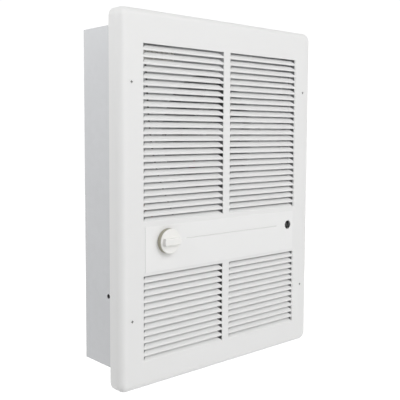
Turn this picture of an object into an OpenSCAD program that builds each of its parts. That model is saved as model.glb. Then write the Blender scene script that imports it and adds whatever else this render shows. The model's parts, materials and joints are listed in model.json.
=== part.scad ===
// Recessed fan-forced wall heater: a steel box that sinks between two wall studs, a fan deck
// with its motor and finned heating element, and a louvred pan-shaped front cover.
//
// X runs to the right, Y into the wall and Z up. The origin is on the face of the wall, at the
// middle of the cover: what has a negative Y stands in the room.

/* [Front cover] */
// Width of the front cover
cover_w = 417; // [404:1:440]
// Height of the front cover
cover_h = 556; // [552:1:590]
// How far the cover stands out from the wall
cover_d = 26; // [25:0.5:32]
// Thickness of the cover's sheet
cover_sheet = 1.2; // [0.8:0.1:1.5]
// Radius of the cover's front edges
cover_edge_r = 11; // [4:0.5:14]
// How much larger the corners' radius is, seen from the front
cover_corner_extra = 3; // [1:0.5:10]
// Height of the upper cover screws above the middle, and of the lower ones below it
cover_screw_z = 172.5; // [150:0.5:200]
// Diameter of the cover screws
cover_screw_d = 4; // [3:0.5:5]
// Diameter of the cover screws' heads
cover_screw_head_d = 7; // [6:0.5:8]

/* [Louvres] */
// Distance from one louvre to the next
louvre_pitch = 10; // [9:0.1:10.2]
// Slope of a louvre's blade from upright
louvre_tilt = 37; // [20:1:45]
// Width of each column of louvres
column_w = 159; // [140:1:162]
// Width of the plain rib between the two columns
rib_w = 15; // [8:1:20]
// Number of blades in each upper field
upper_blades = 26; // [20:1:26]
// Number of blades in each lower field
lower_blades = 13; // [10:1:13]
// From the cover's top edge to the upper louvres
upper_margin = 49.5; // [40:0.5:52]
// From the cover's bottom edge to the lower louvres
lower_margin = 39; // [30:0.5:42]

/* [Control strip] */
// Space between the strip and the louvres above and below it
strip_margin = 5; // [3:0.5:8]
// Space between the strip's ends and the louvre columns' outer edges
strip_inset = 2.5; // [0:0.5:8]
// Thickness of the strip
strip_sheet = 0.8; // [0.5:0.1:1.2]
// Height of the controls above the strip's middle
control_rise = 10; // [0:0.5:12]
// Width of the score line between knob and reset button
score_w = 2; // [1:0.1:3]
// Depth of the score line
score_depth = 0.3; // [0.2:0.05:0.4]

/* [Thermostat] */
// From the middle of the cover to the knob's axis
knob_side = 123; // [110:1:130]
// Diameter of the knob's disc
knob_d = 38; // [30:0.5:42]
// Thickness of the knob's disc
knob_disc_h = 8.5; // [8:0.5:12]
// How far the grip bar stands out from the disc
knob_grip_h = 6; // [5:0.5:12]
// Width of the grip bar
knob_grip_w = 11; // [8:0.5:13]
// Diameter of the thermostat's shaft
control_shaft_d = 6; // [5:0.1:6.5]
// Height of the flat on the shaft above its axis
control_flat = 1.6; // [1:0.1:2]
// Width of the thermostat's body
thermostat_w = 44; // [38:1:48]
// Height of the thermostat's body
thermostat_h = 36; // [30:1:40]
// Depth of the thermostat's body
thermostat_depth = 26; // [20:1:27]
// Diameter of the threaded bushing round the shaft
bushing_d = 10; // [9:0.1:11]
// Diameter of the sensing bulb
bulb_d = 6; // [5:0.5:8]
// Length of the sensing bulb
bulb_len = 62; // [40:1:80]

/* [Reset button] */
// From the middle of the cover to the reset button's axis
reset_side = 151; // [145:1:156]
// Diameter of the opening in the cover over the reset button
reset_hole_d = 15; // [12:0.5:18]
// Diameter of the reset button
reset_d = 9; // [8:0.1:10]
// Travel of the reset button
reset_travel = 3; // [2:0.1:3.2]

/* [Wall box] */
// Width of the wall box, to fit between studs at 406 mm centres
box_w = 362; // [356:1:368]
// Height of the wall box
box_h = 519; // [515:1:525]
// Depth of the wall box behind the wall's face
box_d = 110; // [110:1:140]
// Thickness of the wall box's sheet
box_sheet = 1.2; // [0.8:0.1:1.5]
// Width of the flange that lies on the wall
flange_w = 12.7; // [10:0.1:14]
// Outer radius of the box's rear bends
bend_r = 2.5; // [2:0.1:4]
// Diameter of the holes for the screws into the studs
stud_hole_d = 7; // [5:0.5:8]
// Distance between the upper and the lower stud screw hole
stud_hole_spacing = 298; // [280:1:320]
// Depth of the upper stud screw holes behind the wall's face
upper_stud_hole_y = 34; // [30:1:60]
// Depth of the lower stud screw holes behind the wall's face
stud_hole_y = 44; // [40:1:60]
// Diameter of the knockouts for the supply cable
knockout_d = 22.2; // [21:0.1:23]
// From the middle of the box to the knockouts
knockout_side = 125; // [110:1:135]

/* [Fan deck] */
// From the wall's face to the front of the fan deck
deck_y = 14; // [13.5:0.5:15]
// Thickness of the fan deck's sheet
deck_sheet = 1.2; // [0.8:0.1:1.5]
// Gap all round between the deck and the box
deck_gap = 0.8; // [0.4:0.1:1.5]
// Diameter of the screws that hold sheet parts to the deck
deck_screw_d = 4; // [3:0.5:4]

/* [Fan] */
// Diameter of the fan
fan_d = 190; // [170:1:196]
// Gap between the blades' tips and the inlet ring
tip_gap = 3; // [2:0.5:5]
// Number of blades
fan_blades = 5; // [3:1:6]
// Pitch of the blades
blade_pitch = 25; // [15:1:28]
// Width of a blade at its tip
blade_chord = 62; // [40:1:64]
// Thickness of the blades
blade_sheet = 1.2; // [0.8:0.1:1.5]
// From the deck's front to the middle of the fan
fan_set = 22; // [21:0.5:24]
// Radius of the inlet ring's bell mouth
bell_r = 6; // [4:0.5:7]
// Diameter of the motor shaft
motor_shaft_d = 6.35; // [6:0.05:7]

/* [Motor] */
// Width of the motor's laminations
stack_w = 60; // [58:1:66]
// Thickness of the stack of laminations
stack_len = 25; // [20:1:26]
// Diameter of the bore in the laminations
stator_bore_d = 25; // [24:0.1:26]
// Gap between rotor and laminations
air_gap = 0.35; // [0.3:0.05:0.5]
// Outer diameter of the bearings
bearing_d = 12; // [10:0.5:13]
// From the middle of the motor to each through bolt
motor_bolt_side = 23.5; // [22:0.5:24]
// Diameter of the motor's through bolts
motor_bolt_d = 4; // [3:0.5:4.5]
// Thickness of the motor's winding
winding_h = 8; // [6:0.5:8.5]

/* [Heating element] */
// Distance between the element's two end plates
element_w = 266; // [240:1:270]
// Number of passes of the heating tube
element_passes = 4; // [2:2:4]
// Distance from one pass to the next
pass_pitch = 25; // [22:0.5:26]
// Diameter of the heating tube
element_tube_d = 8; // [6:0.5:8.5]
// Distance from one fin to the next
fin_pitch = 6; // [5:0.5:10]
// Thickness of a fin
fin_sheet = 0.6; // [0.4:0.1:0.8]
// Depth of a fin from front to back
fin_depth = 30; // [24:1:34]

/* [Fits] */
// Radial clearance of a turning shaft in its bearing
running_fit = 0.04; // [0.02:0.01:0.1]
// Radial clearance of a screw in its threaded hole
thread_fit = 0.03; // [0.02:0.01:0.05]
// Radial clearance of a screw in a plain hole
screw_clearance = 0.3; // [0.2:0.05:0.5]
// Gap between parts that must not touch
part_gap = 0.6; // [0.4:0.05:0.8]

/* [Hidden] */

round_sides = 48;
wide_sides = 96;
// How far a cutting shape reaches past what it cuts
through = 5;

// Screws that hold sheet parts to the deck
deck_screw_head_d = deck_screw_d + 4;
deck_screw_head_h = 2.4;
deck_screw_len = 8;
lip_screw_len = 6;
small_screw_d = 3;
small_screw_head_d = 5;
small_screw_head_h = 1.8;
small_screw_len = 4;

// Front cover
face_y = -cover_d;
cover_back_y = face_y + cover_sheet;
corner_r = cover_edge_r + cover_corner_extra;
cover_screw_x = box_w / 2 + flange_w / 2;
blade_lap = 0.6;
countersink_gap = 0.3;

// Louvre fields, as heights
upper_top_z = cover_h / 2 - upper_margin;
upper_bottom_z = upper_top_z - upper_blades * louvre_pitch;
lower_bottom_z = -cover_h / 2 + lower_margin;
lower_top_z = lower_bottom_z + lower_blades * louvre_pitch;
louvre_fields = [[upper_top_z, upper_blades], [lower_top_z, lower_blades]];
column_starts = [-rib_w / 2 - column_w, rib_w / 2];
band_h = upper_bottom_z - lower_top_z;
band_z = (upper_bottom_z + lower_top_z) / 2;

// Control strip
strip_w = 2 * column_w + rib_w - 2 * strip_inset;
strip_h = band_h - 2 * strip_margin;
strip_front_y = face_y - strip_sheet;
controls_z = band_z + control_rise;
score_left_gap = 19;
score_right_gap = 22;

// Wall box
inner_x = box_w / 2 - box_sheet;
inner_y = box_d - box_sheet;
inner_z = box_h / 2 - box_sheet;
cap_tab_h = 12;
cap_corner = 4;
knockout_y = box_d / 2;
knockout_groove = 0.6;
knockout_tie_w = 3;
ground_screw_inset = 29.8;
ground_screw_drop = 33.3;
ground_screw_x = -inner_x + ground_screw_inset;
ground_screw_z = inner_z - ground_screw_drop;
ground_screw_d = 4;
ground_head_d = 8;
ground_head_h = 4;

// Fan deck
deck_back_y = deck_y + deck_sheet;
deck_half_w = inner_x - box_sheet - deck_gap;
deck_half_h = inner_z - deck_gap;
tab_drop = 87.5;
tab_z = deck_half_h - tab_drop;
tab_h = 40;
tab_leg = 22;
tab_reach = 20;
tab_screw_x = inner_x - tab_reach / 2;

// Control bracket's height, from the thermostat that it holds
bracket_sheet = 1.2;
control_room = 2.8;
bracket_lip = 12;
bracket_half_h = control_rise + thermostat_h / 2 + control_room + bracket_sheet;
bracket_top_z = band_z + bracket_half_h;
bracket_bottom_z = band_z - bracket_half_h;

// Fan and inlet ring, above the control bracket
fan_y = deck_y + fan_set;
fan_room = 12.75;
throat_r = fan_d / 2 + tip_gap;
ring_sheet = 1;
ring_hole_r = throat_r + bell_r;
ring_lip = 8;
ring_r = ring_hole_r + ring_lip;
fan_z = bracket_top_z + bracket_lip + fan_room + ring_r;
throat_depth = 26;
rivet_count = 6;
rivet_d = 3.2;
rivet_front_d = 6;
rivet_back_d = 5;
rivet_head_h = 1;
fan_disc_r = 30;
blade_root = 0.55;
blade_root_set = 6;
blade_over = 5;
hub_d = 20;
hub_spigot_d = hub_d - 6;
hub_len = 14;
hub_lip = 2;
hub_screw_d = 4;
hub_screw_set = 8.4;
hub_screw_gap = 0.1;
shaft_lead = 4;
blade_room = 2.5;
half_blade_depth = blade_chord / 2 * sin(blade_pitch) + blade_sheet / 2;

// Motor, from front to back
motor_nut_h = 3.2;
strap_sheet = 1.5;
strap_y = fan_y + half_blade_depth + blade_room + motor_nut_h;
strap_back_y = strap_y + strap_sheet;
strap_w = 40;
strap_leg_gap = 4;
strap_leg_x = ring_hole_r + strap_leg_gap;
strap_foot = 18;
strap_screw_set = 6;
strap_foot_screw_z = 12;
strap_hole_share = 0.62;
strap_hole_d = strap_w / 2;
hub_room = 4;
front_pad_len = 12;
rear_pad_len = 10;
stack_y = strap_back_y + front_pad_len;
stack_back_y = stack_y + stack_len;
end_ring_len = 2.5;
boss_gap = 0.6;
boss_d = bearing_d + 8;
boss_proud = 1;
pad_d = motor_bolt_d + 6;
arm_h = 10;
arm_t = 4;
front_arm_set = 1;
rear_arm_set = 2;
motor_head_d = motor_bolt_d + 3;
end_ring_step = 1;
front_bearing_y = strap_back_y + boss_gap;
front_bearing_len = front_pad_len - end_ring_len - 2 * boss_gap;
rear_bearing_y = stack_back_y + end_ring_len + boss_gap;
rear_bearing_len = rear_pad_len - end_ring_len - boss_gap + boss_proud;
motor_head_h = 2.4;
stack_top = 20;
stack_bottom = 52;
coil_bar_h = 14;
window_half_w = 18;
window_top = stator_bore_d / 2 + 6.5;
bobbin_wall = 1;
bobbin_half_len = window_half_w - 1.5;
bobbin_gap = 0.2;
bobbin_r = 3;
bobbin_core_r = 0.5;
winding_r = 4;
winding_gap = 0.05;
winding_end_gap = 0.1;
winding_inset = 1;
shade_wire = 2;
shade_play = 0.05;
shade_inner_x = stator_bore_d / 2 - 2;
shade_outer_x = shade_inner_x + 6.5;
shade_z = 8;

// Heating element
element_set = 10.8;
element_room = 7.75;
element_y = deck_back_y + element_set;
element_sheet = 1.2;
plate_x = element_w / 2;
fin_rim = 10.5;
fin_h = (element_passes - 1) * pass_pitch + 2 * fin_rim;
fin_end_room = 8;
fin_run = element_w - 2 * fin_end_room;
fin_count = floor(fin_run / fin_pitch) + 1;
opening_rim = 4;
opening_h = fin_h + 2 * opening_rim;
element_z = bracket_bottom_z - bracket_lip - element_room - opening_h / 2;
opening_half_w = plate_x + element_sheet + part_gap;
plate_h = opening_h - 2 * part_gap;
plate_tab = 22;
plate_screw_side = 14;
plate_screw_drop = 18.4;
plate_screw_x = plate_x + element_sheet + plate_screw_side;
plate_screw_z = plate_h / 2 - plate_screw_drop;
plate_proud = 8;
plate_rim = 3;
bend_start = 3;
tube_bend_x = plate_x + element_sheet + bend_start;
tube_lead = 15;
tube_end_x = plate_x + element_sheet + tube_lead;
seal_len = 6;
seal_d = element_tube_d + 2;
pin_d = 3.2;
pin_len = 13.8;
pin_end_x = tube_end_x + pin_len;

// Control bracket, a hat section between the deck and the control strip
bracket_gap = 7.8;
bracket_front_y = cover_back_y + bracket_gap;
bracket_back_y = bracket_front_y + bracket_sheet;
bracket_end_gap = 4;
bracket_half_w = deck_half_w - bracket_end_gap;
bracket_screw_inset = 13.8;
bracket_screw_x = bracket_half_w - bracket_screw_inset;
bracket_screw_set = bracket_lip / 2;

// Thermostat
bushing_len = 6.5;
nut_h = 3;
nut_across = bushing_d + 4;
shaft_inner_len = 10;
shaft_end_play = 0.5;
knob_back_y = strip_front_y - part_gap;
knob_disc_y = knob_back_y - knob_disc_h;
knob_front_y = knob_disc_y - knob_grip_h;
knob_front_wall = 3.5;
knob_socket_len = knob_disc_h + knob_grip_h - knob_front_wall;
socket_end_play = 0.3;
grip_end_set = 3.5;
knob_grip_len = knob_d - 2 * grip_end_set;
shaft_hole_d = bushing_d + 4;
bulb_inset = 27.8;
bulb_proud = 7;
bulb_rise = 78.25;
bulb_x = -deck_half_w + bulb_inset;
bulb_y = deck_y - bulb_proud;
bulb_z = bracket_top_z + bulb_rise;
clip_sheet = 0.8;
clip_play = 0.1;
clip_w = 8;
clip_end = 10;
clip_reach = 6;
clip_tail = 5;
clip_screw_x = bulb_x + bulb_d / 2 + clip_sheet + clip_reach;
clip_heights = [bulb_z + clip_end, bulb_z + bulb_len - clip_end];
capillary_d = 1.8;

// Reset button, from front to back
reset_recess = 1.2;
reset_cap_front_y = cover_back_y + reset_recess;
reset_cap_len = 8;
reset_cap_back_y = reset_cap_front_y + reset_cap_len;
reset_fit = 0.3;
guide_lip_h = 2.5;
guide_d = reset_d + 5;
guide_lip_d = guide_d + 4;
guide_front_y = bracket_front_y - guide_lip_h;
spring_wire_d = 0.5;
spring_curls = 3;
spring_curl_pitch = 0.95;
spring_d = reset_d - 2.2;
spring_len = spring_curls * spring_curl_pitch + spring_wire_d;
spring_play = 0.2;
guide_floor_y = reset_cap_back_y + reset_travel + spring_len + 2 * spring_play;
guide_floor_h = 2;
guide_back_y = guide_floor_y + guide_floor_h;
reset_stem_d = 4;

// Limit switch and fan delay switch, both of the round snap-disc kind
switch_d = 18;
switch_body_len = 12.7;
switch_cup_d = 15;
switch_cup_len = 5;
switch_flange_w = 36;
switch_flange_h = 16;
switch_flange_t = 0.8;
switch_screw_side = 13.5;
switch_flange_y = deck_y - switch_flange_t;
switch_top_y = switch_flange_y - switch_body_len;
stem_entry = 1.5;
stem_end_play = 0.5;
reset_stem_back_y = switch_top_y + stem_entry;
delay_x = 60;
delay_z = band_z;

// Terminal block at the deck's top left, which shows behind the first slots
terminal_inset = 54.8;
terminal_drop = 40;
terminal_x = -deck_half_w + terminal_inset;
terminal_z = deck_half_h - terminal_drop;
terminal_w = 58;
terminal_h = 21;
terminal_depth = 20;
terminal_poles = 3;
terminal_wall = 1.5;
terminal_rim = 3;
terminal_recess = 5;
terminal_bore_len = 12;
terminal_screw_d = 4;
terminal_head_d = 7;
terminal_head_h = 2;
terminal_screw_len = 6.5;
pole_w = terminal_w / terminal_poles;
pole_places = [for (i = [0:terminal_poles - 1]) (i - (terminal_poles - 1) / 2) * pole_w];

// Grommets in the deck where wires pass
grommet_hole_d = 12;
grommet_bore_d = 7;
grommet_lip = 1.2;
grommet_lip_d = grommet_hole_d + 3;
grommet_play = 0.1;
grommet_side = 8;
grommet_drop = 12.5;
grommet_inset = 23.8;
grommet_band_drop = 12;
grommet_delay_side = 36;
grommet_places = [
    [terminal_x - terminal_w / 2 - grommet_side, terminal_z - grommet_drop],
    [-bracket_half_w + grommet_inset, band_z - grommet_band_drop],
    [delay_x + grommet_delay_side, band_z],
];

// Wires: points by hand, as [x, y, z]; each end stands square on the face it is fixed to
wire_d = 2.6;
wire_lead = 3;
terminal_left_x = terminal_x - terminal_w / 2;
terminal_bottom_z = terminal_z - terminal_h / 2;
thermostat_right_x = -knob_side + thermostat_w / 2;
thermostat_left_x = -knob_side - thermostat_w / 2;
thermostat_top_z = controls_z + thermostat_h / 2;
limit_left_x = reset_side - switch_d / 2;
limit_bottom_z = controls_z - switch_d / 2;
delay_left_x = delay_x - switch_d / 2;
delay_right_x = delay_x + switch_d / 2;
first_pass_z = element_z + (element_passes - 1) / 2 * pass_pitch;
last_pass_z = element_z - (element_passes - 1) / 2 * pass_pitch;

line_wire_path = [
    [-142, 2, terminal_bottom_z], [-142, 2, terminal_bottom_z - wire_lead], [-141, 1, 190],
    [-136, 0, 100], [-122, 0, 40], [-100, 0, -5], [-90, 0, -24], [-88, 0, -44], [-83, 2, -58],
    [-70, 4, -80], [-52, 4, -86], [104, 4, -86], [126, 4, -79], [134, 4, -68],
    [limit_left_x - wire_lead, 4, controls_z], [limit_left_x, 4, controls_z],
];
limit_wire_path = [
    [reset_side, 4, limit_bottom_z], [reset_side, 4, limit_bottom_z - wire_lead],
    [150, 4, -78], [145, 4, -87], [134, 4, -92], [-62, 4, -93], [-80, 3, -88], [-89, 2, -77],
    [thermostat_right_x + wire_lead, 2, -72], [thermostat_right_x, 2, -72],
];
element_wire_path = [
    [thermostat_left_x, 2, -72], [thermostat_left_x - wire_lead, 2, -72], [-150, 6, -77],
    [-150, 11, -82], [-150, 21, -82], [-155, 29, -88], [-163, 29, -104], [-169, 27, -122],
    [-170, 26, -130], [-169, 26, -135],
    [-pin_end_x - wire_lead, 26, first_pass_z], [-pin_end_x, 26, first_pass_z],
];
delay_wire_path = [
    [thermostat_right_x, -8, -56], [-88, -8, -56], [20, -4, -66], [40, 2, -70],
    [delay_left_x - wire_lead, 4, delay_z], [delay_left_x, 4, delay_z],
];
neutral_wire_path = [
    [terminal_left_x, 2, 222], [terminal_left_x - wire_lead, 2, 222], [-160, 4, 219],
    [-161, 7, 212], [-160, 11, 206.7], [-160, 19, 206.7], [-163, 34, 196], [-170, 36, 150],
    [-174, 30, -60], [-174, 26, -198], [-173, 26, -206], [-170, 26, -210],
    [-pin_end_x - wire_lead, 26, last_pass_z], [-pin_end_x, 26, last_pass_z],
];
motor_lead_path = [
    [bobbin_half_len, 64, 50], [bobbin_half_len + wire_lead, 64, 50], [26, 62, 47],
    [62, 54, 10], [86, 44, -34], [95, 32, -62], [96, 22, -70], [96, 8, -70], [88, 3, -70],
    [delay_right_x + wire_lead, 3, delay_z], [delay_right_x, 3, delay_z],
];
motor_return_path = [
    [-bobbin_half_len, 64, 50], [-bobbin_half_len - wire_lead, 64, 50], [-26, 62, 47],
    [-90, 52, 32], [-130, 44, 52], [-150, 38, 100], [-157, 32, 170], [-160, 19, 203.3],
    [-160, 11, 203.3], [-158, 5, 207], [-157, 3, 213],
    [terminal_left_x - wire_lead, 2, 216], [terminal_left_x, 2, 216],
];
capillary_path = [
    [-150, 7, bulb_z], [-150, 7, 30], [-146, 6, 0], [-139, 4, -20], [-124, 2, -30],
    [-118, 2, -36], [-118, 2, thermostat_top_z],
];
harness_hole_d = 8;
harness_hole = [-88, 0];
capillary_hole_d = capillary_d + 3;
capillary_hole = [-118, 2];

// ---------- Shared shapes ----------

// A block between two corners
module block(low, high) {
    translate(low) cube(high - low);
}

// A round bar along Y
module bar_y(x, z, y0, y1, d, sides = round_sides) {
    translate([x, y0, z]) rotate([-90, 0, 0]) cylinder(d = d, h = y1 - y0, $fn = sides);
}

// A round bar along X
module bar_x(x0, x1, y, z, d) {
    translate([x0, y, z]) rotate([0, 90, 0]) cylinder(d = d, h = x1 - x0, $fn = round_sides);
}

// A shape and its mirror image on the left
module both_sides() {
    children();
    mirror([1, 0, 0]) children();
}

// Turns a shape drawn flat so that its Z points into the room
module face_room() {
    rotate([90, 0, 0]) children();
}

// A rectangle with round corners, centred
module round_rect(w, h, r) {
    square([w - 2 * r, h], center = true);
    square([w, h - 2 * r], center = true);
    for (sx = [-1, 1], sy = [-1, 1])
        translate([sx * (w / 2 - r), sy * (h / 2 - r)]) circle(r, $fn = round_sides);
}

// The cross recess of a screw head whose face is at y = 0
module cross_recess(size, depth) {
    slot = size / 5;
    for (turn = [0, 90])
        rotate([0, turn, 0]) block([-size / 2, -1, -slot / 2], [size / 2, depth, slot / 2]);
}

// A pan-head screw that runs along +Y from its seat at y = 0
module pan_screw(d, head_d, head_h, len) {
    difference() {
        union() {
            bar_y(0, 0, -head_h, 0, head_d);
            bar_y(0, 0, 0, len, d);
        }
        translate([0, -head_h, 0]) cross_recess(head_d * 0.6, head_h / 2);
    }
}

// A hexagon nut along Y
module hex_nut(across, bore, y0, y1) {
    difference() {
        bar_y(0, 0, y0, y1, across / cos(30), 6);
        bar_y(0, 0, y0 - 1, y1 + 1, bore);
    }
}

// Unit vector, and the directions across a tube's path
side_hint = [0.36, 0.8, 0.48];
function unit(v) = v / norm(v);
function step_dir(path, i) = unit(path[i + 1] - path[i]);
function path_dir(path, i) = unit(
    step_dir(path, max(i - 1, 0)) + step_dir(path, min(i, len(path) - 2)));
function ring_points(path, i, r, sides) =
    let (t = path_dir(path, i), u = unit(cross(t, side_hint)), v = cross(t, u))
    [for (k = [0:sides - 1]) path[i] + r * (cos(360 * k / sides) * u + sin(360 * k / sides) * v)];

// A tube swept along a path
module swept_tube(path, d, sides = 8) {
    n = len(path);
    points = [for (i = [0:n - 1]) each ring_points(path, i, d / 2, sides)];
    walls = [for (i = [0:n - 2], k = [0:sides - 1])
        let (a = i * sides + k, b = i * sides + (k + 1) % sides)
        each [[a, b, b + sides], [a, b + sides, a + sides]]];
    start_cap = [for (k = [sides - 1:-1:0]) k];
    end_cap = [for (k = [0:sides - 1]) (n - 1) * sides + k];
    polyhedron(points = points, faces = concat(walls, [start_cap, end_cap]));
}

// ---------- Front cover ----------

// Half of the pan's cross-section, from the corner's centre outwards
module pan_section(shrink) {
    r = cover_edge_r - shrink;
    square([corner_r - shrink, cover_d - cover_edge_r]);
    square([corner_r - cover_edge_r, cover_d - shrink]);
    translate([corner_r - cover_edge_r, cover_d - cover_edge_r]) circle(r, $fn = wide_sides);
}

module pan_wall() {
    difference() {
        intersection() {
            pan_section(0);
            square([corner_r, cover_d]);
        }
        translate([0, -1]) square([corner_r - cover_sheet, 1 + cover_d - cover_edge_r]);
        translate([-1, -1]) square([1 + corner_r - cover_edge_r, 1 + cover_d - cover_sheet]);
        translate([corner_r - cover_edge_r, cover_d - cover_edge_r])
            circle(cover_edge_r - cover_sheet, $fn = wide_sides);
    }
}

module pan_edge(half, run) {
    translate([half - corner_r, run / 2, 0]) rotate([90, 0, 0])
        linear_extrude(run) pan_wall();
}

module cover_pan() {
    flat_w = cover_w - 2 * corner_r;
    flat_h = cover_h - 2 * corner_r;
    for (turn = [0, 180]) {
        rotate([0, 0, turn]) pan_edge(cover_w / 2, flat_h);
        rotate([0, 0, turn + 90]) pan_edge(cover_h / 2, flat_w);
    }
    for (mx = [0, 1], my = [0, 1])
        mirror([mx, 0, 0]) mirror([0, my, 0]) translate([flat_w / 2, flat_h / 2, 0])
            rotate_extrude(angle = 90, $fn = wide_sides) pan_wall();
    translate([-flat_w / 2, -flat_h / 2, cover_d - cover_sheet])
        cube([flat_w, flat_h, cover_sheet]);
}

// One louvre: its lower edge stays in the cover's face and its upper edge leans inwards
module louvre_blade() {
    translate([-blade_lap, 0, cover_d]) rotate([-louvre_tilt, 0, 0])
        translate([0, 0, -cover_sheet]) cube([column_w + 2 * blade_lap, louvre_pitch, cover_sheet]);
}

module front_cover() {
    color("white") face_room() {
        difference() {
            cover_pan();
            for (field = louvre_fields, x = column_starts)
                translate([x, field[0] - field[1] * louvre_pitch + blade_lap, 0])
                    cube([column_w, field[1] * louvre_pitch - blade_lap, cover_d + 1]);
            for (x = [-cover_screw_x, cover_screw_x], z = [-cover_screw_z, cover_screw_z])
                translate([x, z, cover_d - cover_sheet]) screw_seat();
            translate([-knob_side, controls_z, 0])
                cylinder(d = shaft_hole_d, h = cover_d + 1, $fn = round_sides);
            translate([reset_side, controls_z, 0])
                cylinder(d = reset_hole_d, h = cover_d + 1, $fn = round_sides);
        }
        for (field = louvre_fields, x = column_starts, i = [1:field[1]])
            translate([x, field[0] - i * louvre_pitch, 0]) louvre_blade();
    }
}

// Countersink through the cover's sheet
module screw_seat() {
    neck_d = cover_screw_d + 2 * screw_clearance;
    rim_d = cover_screw_head_d + 2 * countersink_gap;
    translate([0, 0, -1]) cylinder(d = neck_d, h = cover_sheet + 2, $fn = round_sides);
    cylinder(d1 = neck_d, d2 = rim_d, h = cover_sheet, $fn = round_sides);
    translate([0, 0, cover_sheet])
        cylinder(d = rim_d, h = 1, $fn = round_sides);
}

module cover_screws() {
    color("white")
        for (x = [-cover_screw_x, cover_screw_x], z = [-cover_screw_z, cover_screw_z])
            translate([x, face_y, z]) countersunk_screw();
}

module countersunk_screw() {
    head_h = cover_sheet - 0.1;
    difference() {
        union() {
            rotate([-90, 0, 0]) cylinder(
                d1 = cover_screw_head_d, d2 = cover_screw_d, h = head_h, $fn = round_sides);
            bar_y(0, 0, head_h, cover_d, cover_screw_d);
        }
        cross_recess(cover_screw_head_d * 0.65, 0.8);
    }
}

module control_strip() {
    color("whitesmoke") difference() {
        block([-strip_w / 2, strip_front_y, band_z - strip_h / 2],
            [strip_w / 2, face_y, band_z + strip_h / 2]);
        bar_y(-knob_side, controls_z, strip_front_y - 1, face_y + 1, shaft_hole_d);
        bar_y(reset_side, controls_z, strip_front_y - 1, face_y + 1, reset_hole_d);
        block([-knob_side + knob_d / 2 + score_left_gap, strip_front_y - 1, controls_z - score_w / 2],
            [reset_side - reset_hole_d / 2 - score_right_gap, strip_front_y + score_depth,
                controls_z + score_w / 2]);
    }
}

// ---------- Wall box ----------

// Plan of the box seen from above, with rounded rear corners
module box_plan(inset) {
    w = box_w - 2 * inset;
    r = bend_r - inset;
    translate([-w / 2, -box_sheet]) square([w, box_sheet + box_d - bend_r]);
    translate([-w / 2 + r, 0]) square([w - 2 * r, box_d - inset]);
    for (sx = [-1, 1])
        translate([sx * (w / 2 - r), box_d - bend_r]) circle(r, $fn = round_sides);
}

module wall_box_wrap() {
    color("lightgray") difference() {
        union() {
            translate([0, 0, -box_h / 2]) linear_extrude(box_h) difference() {
                box_plan(0);
                box_plan(box_sheet);
                translate([-inner_x, -2 * box_sheet]) square([2 * inner_x, 2 * box_sheet]);
            }
            both_sides() block([inner_x, -box_sheet, -box_h / 2],
                [box_w / 2 + flange_w, 0, box_h / 2]);
        }
        bar_x(-box_w, box_w, upper_stud_hole_y, stud_hole_spacing / 2, stud_hole_d);
        bar_x(-box_w, box_w, stud_hole_y, -stud_hole_spacing / 2, stud_hole_d);
        for (x = [-cover_screw_x, cover_screw_x], z = [-cover_screw_z, cover_screw_z])
            bar_y(x, z, -2 * box_sheet, box_sheet, cover_screw_d + 2 * thread_fit);
        bar_y(ground_screw_x, ground_screw_z, inner_y - 1, box_d + 1,
            ground_screw_d + 2 * thread_fit);
    }
}

// A cap that closes the box's upper end; the lower one is its mirror image
module box_cap(open_knockout) {
    difference() {
        union() {
            translate([0, 0, inner_z]) linear_extrude(box_sheet) polygon([
                [-inner_x, -box_sheet], [inner_x, -box_sheet],
                [inner_x, inner_y - cap_corner], [inner_x - cap_corner, inner_y],
                [cap_corner - inner_x, inner_y], [-inner_x, inner_y - cap_corner],
            ]);
            block([-inner_x, -box_sheet, inner_z], [inner_x, 0, box_h / 2 + flange_w]);
            both_sides() block([inner_x - box_sheet, 0, inner_z - cap_tab_h],
                [inner_x, inner_y - cap_corner, inner_z + box_sheet / 2]);
        }
        for (sx = [-1, 1])
            translate([sx * knockout_side, knockout_y, inner_z - 1])
                if (open_knockout && sx < 0)
                    cylinder(d = knockout_d, h = box_sheet + 2, $fn = round_sides);
                else
                    knockout_cut();
    }
}

// A ring-shaped cut that leaves the knockout's slug on two ties
module knockout_cut() {
    difference() {
        cylinder(d = knockout_d, h = box_sheet + 2, $fn = round_sides);
        translate([0, 0, -1])
            cylinder(d = knockout_d - 2 * knockout_groove, h = box_sheet + 4, $fn = round_sides);
        translate([-knockout_d, -knockout_tie_w / 2, -1])
            cube([2 * knockout_d, knockout_tie_w, box_sheet + 4]);
    }
}

module wall_box_top() {
    color("lightgray") box_cap(true);
}

module wall_box_bottom() {
    color("lightgray") mirror([0, 0, 1]) box_cap(false);
}

module ground_screw() {
    color("green") translate([ground_screw_x, inner_y, ground_screw_z]) {
        bar_y(0, 0, -ground_head_h, 0, ground_head_d, 6);
        bar_y(0, 0, 0, box_sheet, ground_screw_d);
    }
}

// ---------- Fan deck ----------

module deck_tabs() {
    color("lightgray") for (z = [-tab_z, tab_z])
        both_sides() deck_tab(z);
}

// An angle welded to the box's right wall; the deck is screwed to its front face
module deck_tab(z) {
    difference() {
        union() {
            block([inner_x - box_sheet, deck_back_y, z - tab_h / 2],
                [inner_x, deck_back_y + tab_leg, z + tab_h / 2]);
            block([inner_x - tab_reach, deck_back_y, z - tab_h / 2],
                [inner_x, deck_back_y + box_sheet, z + tab_h / 2]);
        }
        bar_y(tab_screw_x, z, deck_y, deck_back_y + 2 * box_sheet, deck_screw_d + 2 * thread_fit);
    }
}

module deck_hole(x, z, d) {
    bar_y(x, z, deck_y - 1, deck_back_y + 1, d);
}

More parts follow.
